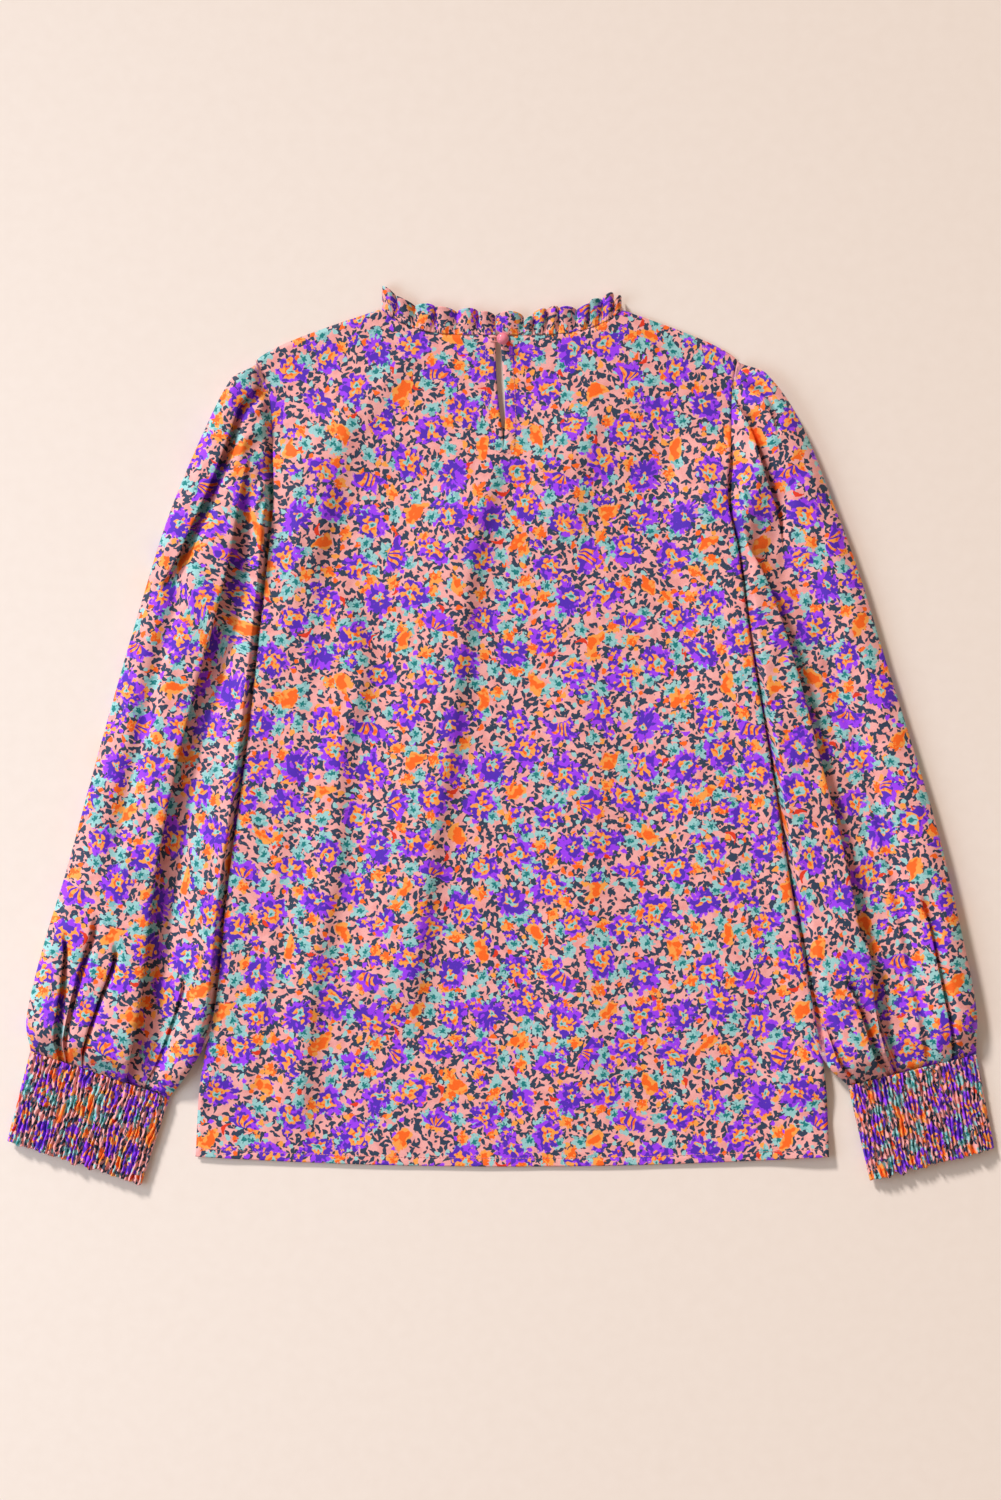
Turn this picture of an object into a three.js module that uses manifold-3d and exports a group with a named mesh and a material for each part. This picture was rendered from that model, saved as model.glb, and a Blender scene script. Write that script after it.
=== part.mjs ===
// A woman's long-sleeved blouse, laid flat on its front with the back uppermost.
//
// The blouse has a back panel with a keyhole slit, a front panel with a lower neckline, two gathered bishop
// sleeves, two smocked cuffs, a gathered ruffle round the neck, and a ball button with its loop.
// Units are millimetres. +Z is up from the surface, +Y runs from the hem to the neck, and +X is to the right as
// the back is seen. The origin is on the surface, below the middle of the whole outline.
import * as THREE from "three";
import Module from "manifold-3d";
import { mergeVertices } from "three/addons/utils/BufferGeometryUtils.js";

// The middle of the outline, which becomes the origin
const LAY = { x: 0.2, y: 3 };

// Thicknesses
const WALL = 1.2; // a cloth wall
const SEAM_GAP = 0.3; // between two pieces at a seam, and between two layers that touch
const SLEEVE_FLAT = 2 * WALL + SEAM_GAP; // a sleeve's two layers pressed flat

// The back stands off the surface near the neck, over the hidden stretch of the ruffle
const NECK_RISE = { high: 1.8, from: 196, run: 26, halfWidth: 140, side: 40 };

// The body's outline: the side edges at each height, from the hem up to the shoulder points
const BODY_SIDES = [
  { y: -326, left: -237.5, right: 255.5 },
  { y: -281, left: -235, right: 254 },
  { y: -250, left: -230.5, right: 250.5 },
  { y: -203, left: -221, right: 242 },
  { y: -116, left: -212, right: 226 },
  { y: -18, left: -198.5, right: 210 },
  { y: 79, left: -187.5, right: 194 },
  { y: 148, left: -180, right: 184.5 },
  { y: 184, left: -176.5, right: 177 },
  { y: 233, left: -177.5, right: 179.6 },
  { y: 265, left: -180, right: 180 },
  { y: 281, left: -184.5, right: 182 },
  { y: 294.5, left: -190, right: 184.5 },
];
const HEM = { corner: -326, middle: -334 };
const SHOULDER = { y: 294.5, crown: 4, crownPower: 0.6 };
const NECK = { left: -93, right: 95, pointLeft: 333.8, pointRight: 333.2, back: 313.6, power: 4 };
const FRONT_NECK = { lowest: 220, power: 2.6 };
const PANEL_STEPS = { shoulder: 5, neck: 14, up: 21 };

// The keyhole slit's two edges at each height, open at the neckline
const SLIT = [
  { y: 229, left: 2.2, right: 3.4 },
  { y: 248, left: 0.2, right: 3.6 },
  { y: 268, left: -2.2, right: 3.3 },
  { y: 288, left: -3.5, right: 1.7 },
  { y: 306, left: -3.7, right: 0.4 },
  { y: 330, left: -4, right: -0.2 },
];

// Soft folds of the back: the line of each crest, its height, and how wide it rises on its left and falls on its
// right
const BACK_FOLDS = [
  { high: 2.2, rise: 40, fall: 22, crest: [{ y: 128, x: -150 }, { y: 193, x: -134 }, { y: 262, x: -121 }] },
  {
    high: 2.8,
    rise: 44,
    fall: 20,
    crest: [
      { y: -300, x: -158 },
      { y: -200, x: -150 },
      { y: -91, x: -131 },
      { y: 52, x: -111 },
      { y: 118, x: -128 },
    ],
  },
  {
    high: 2.8,
    rise: 50,
    fall: 20,
    crest: [
      { y: -210, x: -72 },
      { y: -128, x: -62 },
      { y: 8, x: -40 },
      { y: 138, x: -25 },
      { y: 205, x: -8 },
    ],
  },
  { high: 1.4, rise: 30, fall: 24, crest: [{ y: 160, x: 52 }, { y: 215, x: 58 }, { y: 262, x: 70 }] },
  { high: 1.5, rise: 34, fall: 24, crest: [{ y: -230, x: 190 }, { y: -120, x: 176 }, { y: 30, x: 150 }] },
  { high: 1.3, rise: 30, fall: 24, crest: [{ y: -280, x: 72 }, { y: -150, x: 60 }, { y: 60, x: 58 }] },
];
const FOLD_FADE = 34; // how far past its ends a fold fades out
const FOLDS_FLAT = 25; // the folds fade out over this much of the panel at its sides

// Where the body lies over the sleeves: how far in from its sides, and between which heights
const OVER_SLEEVE = { flat: 33, run: 18, top: 240, topRun: 30, bottom: -300, bottomRun: 36 };

// Each sleeve's sections from the armhole to the cuff: its outer and inner edges, and how puffed it is
const SLEEVE_LEFT = [
  { along: 0, xo: -190.4, yo: 294, xi: -169, yi: 136, puff: 0 },
  { along: 0.08, xo: -209.5, yo: 279, xi: -166.5, yi: 101, puff: 0.75 },
  { along: 0.2, xo: -234.5, yo: 229.5, xi: -167.5, yi: 62, puff: 1 },
  { along: 0.32, xo: -258.5, yo: 171, xi: -171, yi: 15, puff: 0.9 },
  { along: 0.45, xo: -278, yo: 109, xi: -178, yi: -39.5, puff: 0.75 },
  { along: 0.58, xo: -298.5, yo: 38.5, xi: -187.5, yi: -94, puff: 0.7 },
  { along: 0.7, xo: -318, yo: -31.5, xi: -198.5, yi: -144.5, puff: 0.75 },
  { along: 0.82, xo: -337.5, yo: -103.5, xi: -211, yi: -191.5, puff: 0.9 },
  { along: 0.91, xo: -356, yo: -164, xi: -225.5, yi: -230.5, puff: 1 },
  { along: 0.97, xo: -368.5, yo: -218.5, xi: -242, yi: -259.5, puff: 0.95 },
  { along: 1, xo: -366, yo: -243.5, xi: -257.5, yi: -279.5, puff: 0.25 },
];
const SLEEVE_RIGHT = [
  { along: 0, xo: 184.9, yo: 294, xi: 173, yi: 136, puff: 0 },
  { along: 0.08, xo: 206.5, yo: 283.5, xi: 170.5, yi: 99.5, puff: 0.75 },
  { along: 0.2, xo: 233, yo: 246, xi: 173, yi: 58, puff: 1 },
  { along: 0.32, xo: 257, yo: 187, xi: 180, yi: 11.5, puff: 0.9 },
  { along: 0.45, xo: 278, yo: 130.5, xi: 188.5, yi: -43.5, puff: 0.75 },
  { along: 0.58, xo: 298.5, yo: 63.5, xi: 199.5, yi: -98, puff: 0.7 },
  { along: 0.7, xo: 318.5, yo: -0.5, xi: 212, yi: -144.5, puff: 0.75 },
  { along: 0.82, xo: 339.5, yo: -70.5, xi: 226, yi: -191.5, puff: 0.9 },
  { along: 0.91, xo: 357, yo: -144.5, xi: 240, yi: -226.5, puff: 1 },
  { along: 0.97, xo: 370, yo: -211, xi: 255, yi: -256, puff: 0.95 },
  { along: 1, xo: 370.5, yo: -246, xi: 270.5, yi: -270.5, puff: 0.25 },
];

// The height where the armhole seam goes under the body, and the share of the sleeve that the seam shapes
const ARMHOLE = { end: 184, run: 0.08 };
const PUFF = { air: 3.4, ridge: 1.8, arch: 5, bodyClear: 2.5, bodyRun: 11 };

// The valleys between a sleeve's pleats: the stretch that each runs along, its places across the sleeve at five
// even steps, its depth, and how wide the cloth falls before it and rises after it
const VALLEYS_LEFT = [
  { from: 0, to: 0.42, at: [0.03, 0.13, 0.2, 0.21, 0.18], deep: 0.85, before: 0.04, after: 0.05 },
  { from: 0, to: 1, at: [0.3, 0.42, 0.41, 0.45, 0.55], deep: 0.95, before: 0.04, after: 0.16 },
  { from: 0.62, to: 1, at: [0.6, 0.56, 0.57, 0.6, 0.65], deep: 0.6, before: 0.04, after: 0.06 },
  { from: 0.82, to: 1, at: [0.38, 0.37, 0.36, 0.35, 0.34], deep: 0.8, before: 0.04, after: 0.05 },
  { from: 0.84, to: 1, at: [0.24, 0.23, 0.22, 0.22, 0.22], deep: 0.6, before: 0.04, after: 0.04 },
  { from: 0.84, to: 1, at: [0.1, 0.11, 0.12, 0.12, 0.12], deep: 0.7, before: 0.04, after: 0.05 },
  { from: 0.82, to: 1, at: [0.76, 0.77, 0.78, 0.79, 0.8], deep: 0.7, before: 0.04, after: 0.06 },
];
const VALLEYS_RIGHT = [
  { from: 0, to: 0.18, at: [0.11, 0.1, 0.1, 0.12, 0.14], deep: 0.6, before: 0.05, after: 0.04 },
  { from: 0, to: 0.28, at: [0.24, 0.25, 0.28, 0.36, 0.42], deep: 0.8, before: 0.06, after: 0.04 },
  { from: 0, to: 1, at: [0.43, 0.53, 0.54, 0.54, 0.56], deep: 0.95, before: 0.14, after: 0.04 },
  { from: 0.4, to: 1, at: [0.36, 0.31, 0.29, 0.34, 0.42], deep: 0.6, before: 0.06, after: 0.06 },
  { from: 0.7, to: 1, at: [0.82, 0.86, 0.88, 0.88, 0.88], deep: 0.6, before: 0.05, after: 0.04 },
  { from: 0.84, to: 1, at: [0.71, 0.72, 0.72, 0.73, 0.73], deep: 0.75, before: 0.05, after: 0.04 },
  { from: 0.84, to: 1, at: [0.16, 0.16, 0.16, 0.17, 0.17], deep: 0.6, before: 0.05, after: 0.04 },
];

// Small gathers along the armhole seam and above the cuff
const GATHERS = { head: 8, headDeep: 0.45, headRun: 0.06, cuff: 7, cuffDeep: 0.4, cuffFrom: 0.88, cuffRun: 0.1 };
const VALLEY_FADE = 0.25; // the share of a valley that runs out at a free end
const SLEEVE_STEPS = { top: 28, under: 11, along: 15, edge: 0.012, closerAtEnds: 0.4 };

// Each cuff's end at the hand. It starts at the end of its sleeve.
const CUFF_LEFT = { xo: -384, yo: -313.5, xi: -279.5, yi: -347.5 };
const CUFF_RIGHT = { xo: 384.5, yo: -319.5, xi: 287.5, yi: -344.5 };
const CUFF = { ribs: 28, rows: 5, ribHigh: 1.3, roof: 1.5, edge: 0.02, under: 7 };

// The neck ruffle's lobes from the slit outwards: the width of each along the seam, and its height at the top
const LOBES_LEFT = [
  { wide: 14, high: 17.5 },
  { wide: 17, high: 20 },
  { wide: 17, high: 20.5 },
  { wide: 16, high: 20 },
  { wide: 14, high: 20.5 },
  { wide: 12, high: 22.5 },
];
const LOBES_RIGHT = [
  { wide: 10, high: 19 },
  { wide: 15, high: 16 },
  { wide: 10, high: 19.5 },
  { wide: 10, high: 21.5 },
  { wide: 14, high: 20 },
  { wide: 9, high: 19.5 },
  { wide: 11, high: 20 },
  { wide: 8, high: 22.5 },
  { wide: 7, high: 17 },
];
const RUFFLE = { wave: 4.2, waveAtSeam: 0.6, notch: 2.6, neckEnd: 0.004, lobeSteps: 4, up: 3 };
const FRONT_RUFFLE = { high: 21, waves: 14, wave: 1, neckEnd: 0.012, steps: 42, up: 2 };

const BUTTON = { x: 1.7, y: 310.4, radius: 4.7, high: 3.9, shank: 1.3, shankHigh: 1.7 };
const LOOP = { thread: 0.55, from: -8, spread: 1.5 };

const CLOTH = { color: 0xe0938a, roughness: 0.7, metalness: 0 };
const GLOSSY = { color: 0xf0788c, roughness: 0.2, metalness: 0 };

const lerp = (a, b, t) => a + (b - a) * t;
const clamp = (x, low, high) => Math.min(high, Math.max(low, x));
const smooth = (x) => {
  const t = clamp(x, 0, 1);
  return t * t * (3 - 2 * t);
};

// The value of one column of a table at a place, on a smooth curve through its rows
function column(rows, at, place, name) {
  let i = 0;
  while (i < rows.length - 2 && place > rows[i + 1][at]) i++;
  const a = rows[i];
  const b = rows[i + 1];
  const before = rows[Math.max(i - 1, 0)];
  const after = rows[Math.min(i + 2, rows.length - 1)];
  const span = b[at] - a[at];
  const t = clamp((place - a[at]) / span, 0, 1);
  const slopeA = (b[name] - before[name]) / (b[at] - before[at]);
  const slopeB = (after[name] - a[name]) / (after[at] - a[at]);
  const ease = t * t * (3 - 2 * t);
  return lerp(a[name], b[name], ease) + span * t * (1 - t) * (slopeA * (1 - t) - slopeB * t);
}

// A side edge of the body, straight between the panels' rows
function bodySide(name, y) {
  const step = (SHOULDER.y - HEM.corner) / PANEL_STEPS.up;
  const row = clamp(Math.floor((y - HEM.corner) / step), 0, PANEL_STEPS.up - 1);
  const low = HEM.corner + row * step;
  const at = (height) => column(BODY_SIDES, "y", height, name);
  return lerp(at(low), at(low + step), (y - low) / step);
}

// How far a place is inside the body's sides, or outside them if negative
const insideBody = (x, y) => Math.min(x - bodySide("left", y), bodySide("right", y) - x);

// Heights of the layers

function overSleeve(x, y) {
  const near = smooth((OVER_SLEEVE.flat + OVER_SLEEVE.run - insideBody(x, y)) / OVER_SLEEVE.run);
  const upper = smooth((OVER_SLEEVE.top - y) / OVER_SLEEVE.topRun);
  const lower = smooth((y - OVER_SLEEVE.bottom) / OVER_SLEEVE.bottomRun);
  return (SLEEVE_FLAT + SEAM_GAP) * near * upper * lower;
}

function foldHeight({ high, rise, fall, crest }, x, y) {
  const low = crest[0].y;
  const top = crest.at(-1).y;
  const off = x - column(crest, "y", clamp(y, low, top), "x");
  const ends = smooth((y - low + FOLD_FADE) / (2 * FOLD_FADE)) * smooth((top + FOLD_FADE - y) / (2 * FOLD_FADE));
  return high * ends * Math.exp(-((off / (off < 0 ? rise : fall)) ** 2));
}

function overRuffle(x, y) {
  const upper = smooth((y - NECK_RISE.from) / NECK_RISE.run);
  return NECK_RISE.high * upper * smooth((NECK_RISE.halfWidth - Math.abs(x)) / NECK_RISE.side);
}

function backHeight(x, y) {
  const folds = BACK_FOLDS.reduce((sum, fold) => sum + foldHeight(fold, x, y), 0);
  const fromEdge = smooth(insideBody(x, y) / FOLDS_FLAT);
  return overSleeve(x, y) + WALL + SEAM_GAP + overRuffle(x, y) + folds * fromEdge;
}

// The outline's curves

function shoulderLine(side, t) {
  const end = bodySide(side, SHOULDER.y);
  const [neckX, neckY] = side === "left" ? [NECK.left, NECK.pointLeft] : [NECK.right, NECK.pointRight];
  const crown = SHOULDER.crown * Math.sin(Math.PI * t ** SHOULDER.crownPower);
  return [lerp(end, neckX, t), lerp(SHOULDER.y, neckY, t) + crown];
}

function neckline(t, lowest, power) {
  const share = Math.abs(2 * t - 1) ** power;
  return [lerp(NECK.left, NECK.right, t), lerp(lowest, lerp(NECK.pointLeft, NECK.pointRight, t), share)];
}

// The back's neckline, straight between the panel's columns
function backNeck(t) {
  const step = clamp(Math.floor(t * PANEL_STEPS.neck), 0, PANEL_STEPS.neck - 1);
  const [x0, y0] = neckline(step / PANEL_STEPS.neck, NECK.back, NECK.power);
  const [x1, y1] = neckline((step + 1) / PANEL_STEPS.neck, NECK.back, NECK.power);
  const between = t * PANEL_STEPS.neck - step;
  return [lerp(x0, x1, between), lerp(y0, y1, between)];
}

// The top edge of the back: the left shoulder, the neckline and the right shoulder
function topEdge() {
  const { shoulder, neck } = PANEL_STEPS;
  const edge = [];
  for (let i = 0; i < shoulder; i++) edge.push(shoulderLine("left", i / shoulder));
  for (let i = 0; i <= neck; i++) edge.push(backNeck(i / neck));
  for (let i = shoulder - 1; i >= 0; i--) edge.push(shoulderLine("right", i / shoulder));
  return edge;
}

// A panel's points in the plane: rows from the hem up to the top edge
function panelPoints() {
  const top = topEdge();
  const left = top[0][0];
  const right = top.at(-1)[0];
  const rows = [];
  for (let j = 0; j <= PANEL_STEPS.up; j++) {
    const v = j / PANEL_STEPS.up;
    const sideY = lerp(HEM.corner, SHOULDER.y, v);
    rows.push(
      top.map(([topX, topY]) => {
        const u = (topX - left) / (right - left);
        const hemY = HEM.corner + (HEM.middle - HEM.corner) * (1 - (2 * u - 1) ** 2);
        return [lerp(bodySide("left", sideY), bodySide("right", sideY), u), lerp(hemY, topY, v)];
      }),
    );
  }
  return rows;
}

// Closed meshes from sheets and rings of points

function closedGeometry(sheets, quads) {
  const points = sheets.flat(2).flatMap(([x, y, z]) => [x - LAY.x, y - LAY.y, z]);
  const made = new THREE.BufferGeometry();
  made.setAttribute("position", new THREE.Float32BufferAttribute(points, 3));
  made.setIndex(quads.flatMap(([a, b, c, d]) => [a, b, c, a, c, d]));
  return made;
}

// A wall between an upper and a lower sheet. Rows run along +Y and columns along +X.
function wall(upper, lower) {
  const rows = upper.length - 1;
  const columns = upper[0].length - 1;
  const top = (j, i) => j * (columns + 1) + i;
  const under = (j, i) => (rows + 1) * (columns + 1) + top(j, i);
  const quads = [];
  for (let j = 0; j < rows; j++) {
    for (let i = 0; i < columns; i++) {
      quads.push([top(j, i), top(j, i + 1), top(j + 1, i + 1), top(j + 1, i)]);
      quads.push([under(j, i), under(j + 1, i), under(j + 1, i + 1), under(j, i + 1)]);
    }
    quads.push([top(j, 0), top(j + 1, 0), under(j + 1, 0), under(j, 0)]);
    quads.push([top(j + 1, columns), top(j, columns), under(j, columns), under(j + 1, columns)]);
  }
  for (let i = 0; i < columns; i++) {
    quads.push([top(0, i + 1), top(0, i), under(0, i), under(0, i + 1)]);
    quads.push([top(rows, i), top(rows, i + 1), under(rows, i + 1), under(rows, i)]);
  }
  return closedGeometry([upper, lower], quads);
}

// A tube open at both ends, from its outer and inner rings
function tube(outer, inner) {
  const around = outer[0].length;
  const last = outer.length - 1;
  const out = (j, i) => j * around + (i % around);
  const into = (j, i) => (last + 1) * around + out(j, i);
  const quads = [];
  for (let i = 0; i < around; i++) {
    for (let j = 0; j < last; j++) {
      quads.push([out(j, i), out(j, i + 1), out(j + 1, i + 1), out(j + 1, i)]);
      quads.push([into(j, i), into(j + 1, i), into(j + 1, i + 1), into(j, i + 1)]);
    }
    quads.push([into(0, i), into(0, i + 1), out(0, i + 1), out(0, i)]);
    quads.push([out(last, i), out(last, i + 1), into(last, i + 1), into(last, i)]);
  }
  return closedGeometry([outer, inner], quads);
}

// Turns the faces of a mirrored shape the right way round.
function facingOut(geometry) {
  const positions = geometry.getAttribute("position");
  const index = geometry.getIndex().array;
  const corner = (i) => new THREE.Vector3().fromBufferAttribute(positions, index[i]);
  let volume = 0;
  for (let i = 0; i < index.length; i += 3) volume += corner(i).dot(corner(i + 1).cross(corner(i + 2)));
  for (let i = 0; volume < 0 && i < index.length; i += 3) {
    [index[i + 1], index[i + 2]] = [index[i + 2], index[i + 1]];
  }
  return geometry;
}

function piece(name, geometry, look) {
  const mesh = new THREE.Mesh(geometry, new THREE.MeshStandardMaterial(look));
  mesh.name = name;
  return mesh;
}

const wasm = await Module();
wasm.setup();

function solid(geometry) {
  const bare = facingOut(geometry.clone());
  bare.deleteAttribute("normal");
  bare.deleteAttribute("uv");
  const merged = mergeVertices(bare, 1e-4);
  const vertProperties = new Float32Array(merged.getAttribute("position").array);
  const triVerts = new Uint32Array(merged.getIndex().array);
  return new wasm.Manifold(new wasm.Mesh({ numProp: 3, vertProperties, triVerts }));
}

function geometryOf(manifold) {
  const mesh = manifold.getMesh();
  const made = new THREE.BufferGeometry();
  made.setAttribute("position", new THREE.BufferAttribute(mesh.vertProperties, 3));
  made.setIndex(new THREE.BufferAttribute(mesh.triVerts, 1));
  return made;
}

// A prism that stands through all the layers, between two curves of the same length
function prism(left, right) {
  const above = 30;
  const below = -5;
  const sheet = (z) => left.map((point, i) => [point, right[i]].map(([x, y]) => [x, y, z]));
  return wall(sheet(above), sheet(below));
}

function slitPrism() {
  const steps = 12;
  const edge = (name) => {
    const points = [];
    for (let i = 0; i <= steps; i++) {
      const y = lerp(SLIT[0].y, SLIT.at(-1).y, i / steps);
      points.push([column(SLIT, "y", y, name), y]);
    }
    return points;
  };
  return prism(edge("left"), edge("right"));
}

// All that the front's lower neckline takes away
function frontNeckPrism() {
  const steps = 24;
  const beyond = 12;
  const low = [];
  const high = [];
  for (let i = 0; i <= steps; i++) {
    const [x, y] = neckline(i / steps, FRONT_NECK.lowest, FRONT_NECK.power);
    low.push([x, y]);
    high.push([x, NECK.pointLeft + beyond]);
  }
  return prism(low, high);
}

// The body

const lifted = (points, height) => points.map((row) => row.map(([x, y]) => [x, y, height(x, y)]));

function bodyBack() {
  const points = panelPoints();
  const panel = wall(lifted(points, (x, y) => backHeight(x, y) + WALL), lifted(points, backHeight));
  return piece("body_back", geometryOf(solid(panel).subtract(solid(slitPrism()))), CLOTH);
}

function bodyFront() {
  const points = panelPoints();
  const panel = wall(lifted(points, (x, y) => overSleeve(x, y) + WALL), lifted(points, overSleeve));
  return piece("body_front", geometryOf(solid(panel).subtract(solid(frontNeckPrism()))), CLOTH);
}

// The sleeves

// The value at a share of the way through a row of even steps
function atShare(values, share) {
  const step = clamp(Math.floor(share * (values.length - 1)), 0, values.length - 2);
  return lerp(values[step], values[step + 1], share * (values.length - 1) - step);
}

function valley(row, across, along) {
  if (along < row.from || along > row.to) return 1;
  const t = (along - row.from) / (row.to - row.from);
  const off = across - atShare(row.at, t);
  const fadeIn = row.from === 0 ? 1 : smooth(t / VALLEY_FADE);
  const fadeOut = row.to === 1 ? 1 : smooth((1 - t) / VALLEY_FADE);
  return 1 - row.deep * fadeIn * fadeOut * Math.exp(-((off / (off < 0 ? row.before : row.after)) ** 2));
}

// How much a sleeve stands up at a place, from 0 where it is pressed flat to 1
function fullness(sleeve, across, along, x, y) {
  const arch = 1 - Math.abs(2 * across - 1) ** PUFF.arch;
  const puff = column(sleeve.rows, "along", along, "puff");
  const pleats = sleeve.valleys.reduce((share, row) => share * valley(row, across, along), 1);
  const waves = (count) => 0.5 + 0.5 * Math.cos(2 * Math.PI * count * across);
  const head = 1 - GATHERS.headDeep * Math.exp(-along / GATHERS.headRun) * waves(GATHERS.head);
  const nearCuff = smooth((along - GATHERS.cuffFrom) / GATHERS.cuffRun);
  const cuff = 1 - GATHERS.cuffDeep * nearCuff * waves(GATHERS.cuff);
  const clear = y < HEM.corner ? PUFF.bodyRun * 2 : -insideBody(x, y);
  return puff * arch * pleats * head * cuff * smooth((clear - PUFF.bodyClear) / PUFF.bodyRun);
}

// A sleeve's place in the plane. The first section follows the armhole seam, just clear of the body.
function sleevePlace(sleeve, across, along) {
  const at = (name) => column(sleeve.rows, "along", along, name);
  const x = lerp(at("xo"), at("xi"), across);
  const y = lerp(at("yo"), at("yi"), across);
  const start = sleeve.rows[0];
  const seamShare = (ARMHOLE.end - start.yo) / (start.yi - start.yo);
  const seam = bodySide(sleeve.side, y) + (sleeve.side === "left" ? -SEAM_GAP : SEAM_GAP);
  const first = lerp(seam, start.xi, smooth((across - seamShare) / (1 - seamShare)));
  return [lerp(x, first, smooth(1 - along / ARMHOLE.run)), y];
}

// One section: over the top from the outer to the inner edge, and back below
function sleeveRing(sleeve, along) {
  const outer = [];
  const inner = [];
  const { top, under, edge } = SLEEVE_STEPS;
  const middle = WALL + SEAM_GAP / 2;
  for (let i = 0; i <= top; i++) {
    const across = i / top;
    const [x, y] = sleevePlace(sleeve, across, along);
    const [innerX, innerY] = sleevePlace(sleeve, clamp(across, edge, 1 - edge), along);
    const full = fullness(sleeve, across, along, x, y);
    const roof = WALL + SEAM_GAP + PUFF.air * full;
    const atEdge = i === 0 || i === top;
    outer.push([x, y, atEdge ? middle : roof + WALL + PUFF.ridge * full]);
    inner.push([innerX, innerY, atEdge ? middle : roof]);
  }
  for (let i = under - 1; i > 0; i--) {
    const [x, y] = sleevePlace(sleeve, lerp(edge, 1 - edge, i / under), along);
    outer.push([x, y, 0]);
    inner.push([x, y, WALL]);
  }
  return { outer, inner };
}

function sleevePiece(name, sleeve) {
  const rings = [];
  for (let j = 0; j <= SLEEVE_STEPS.along; j++) {
    const even = j / SLEEVE_STEPS.along;
    rings.push(sleeveRing(sleeve, lerp(even, smooth(even), SLEEVE_STEPS.closerAtEnds)));
  }
  const geometry = tube(rings.map((ring) => ring.outer), rings.map((ring) => ring.inner));
  return piece(name, facingOut(geometry), CLOTH);
}

// The smocked cuffs: the ribs stand on the outer points, and the inside is plain.

function cuffPiece(name, sleeveEnd, end) {
  const outer = [];
  const inner = [];
  const long = Math.hypot(end.xo - sleeveEnd.xo, end.yo - sleeveEnd.yo);
  const start = SEAM_GAP / long;
  const place = (across, along) => [
    lerp(lerp(sleeveEnd.xo, end.xo, along), lerp(sleeveEnd.xi, end.xi, along), across),
    lerp(lerp(sleeveEnd.yo, end.yo, along), lerp(sleeveEnd.yi, end.yi, along), across),
  ];
  const middle = WALL + SEAM_GAP / 2;
  for (let j = 0; j <= CUFF.rows; j++) {
    const along = lerp(start, 1, j / CUFF.rows);
    const out = [];
    const into = [];
    for (let i = 0; i <= 2 * CUFF.ribs; i++) {
      const across = i / (2 * CUFF.ribs);
      const atEdge = i === 0 || i === 2 * CUFF.ribs;
      const rib = i % 2 === 1 ? CUFF.ribHigh : 0;
      out.push([...place(across, along), atEdge ? middle : 2 * WALL + CUFF.roof + rib]);
      into.push([...place(clamp(across, CUFF.edge, 1 - CUFF.edge), along), atEdge ? middle : WALL + CUFF.roof]);
    }
    for (let i = CUFF.under - 1; i > 0; i--) {
      const across = lerp(CUFF.edge, 1 - CUFF.edge, i / CUFF.under);
      out.push([...place(across, along), 0]);
      into.push([...place(across, along), WALL]);
    }
    outer.push(out);
    inner.push(into);
  }
  return piece(name, facingOut(tube(outer, inner)), CLOTH);
}

// The neck ruffle

// Half of the ruffle on the back. Each lobe stands up in its middle and dips to a notch at its sides.
function backRufflePiece(name, side, lobes) {
  const total = lobes.reduce((sum, lobe) => sum + lobe.wide, 0);
  const slitAtNeck = column(SLIT, "y", NECK.back, side);
  const from = (slitAtNeck - NECK.left) / (NECK.right - NECK.left);
  const to = side === "left" ? RUFFLE.neckEnd : 1 - RUFFLE.neckEnd;
  const upper = [];
  const lower = [];
  for (let j = 0; j <= RUFFLE.up; j++) {
    const v = j / RUFFLE.up;
    const above = [];
    const below = [];
    let passed = 0;
    lobes.forEach((lobe, k) => {
      for (let i = k === 0 ? 0 : 1; i <= RUFFLE.lobeSteps; i++) {
        const t = i / RUFFLE.lobeSteps;
        const share = (passed + t * lobe.wide) / total;
        const [x, y] = backNeck(lerp(from, to, share));
        const hump = Math.sin(Math.PI * t) ** 2;
        const next = lobes[Math.min(k + 1, lobes.length - 1)];
        const high = lerp(lobe.high, (lobe.high + next.high) / 2, t * t) - RUFFLE.notch * (1 - hump);
        const z = WALL + SEAM_GAP + NECK_RISE.high + lerp(RUFFLE.waveAtSeam, RUFFLE.wave, v) * hump;
        const rise = SEAM_GAP + v * high;
        above.push([x, y + rise, z + WALL]);
        below.push([x, y + rise, z]);
      }
      passed += lobe.wide;
    });
    upper.push(above);
    lower.push(below);
  }
  return piece(name, facingOut(wall(upper, lower)), CLOTH);
}

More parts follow.
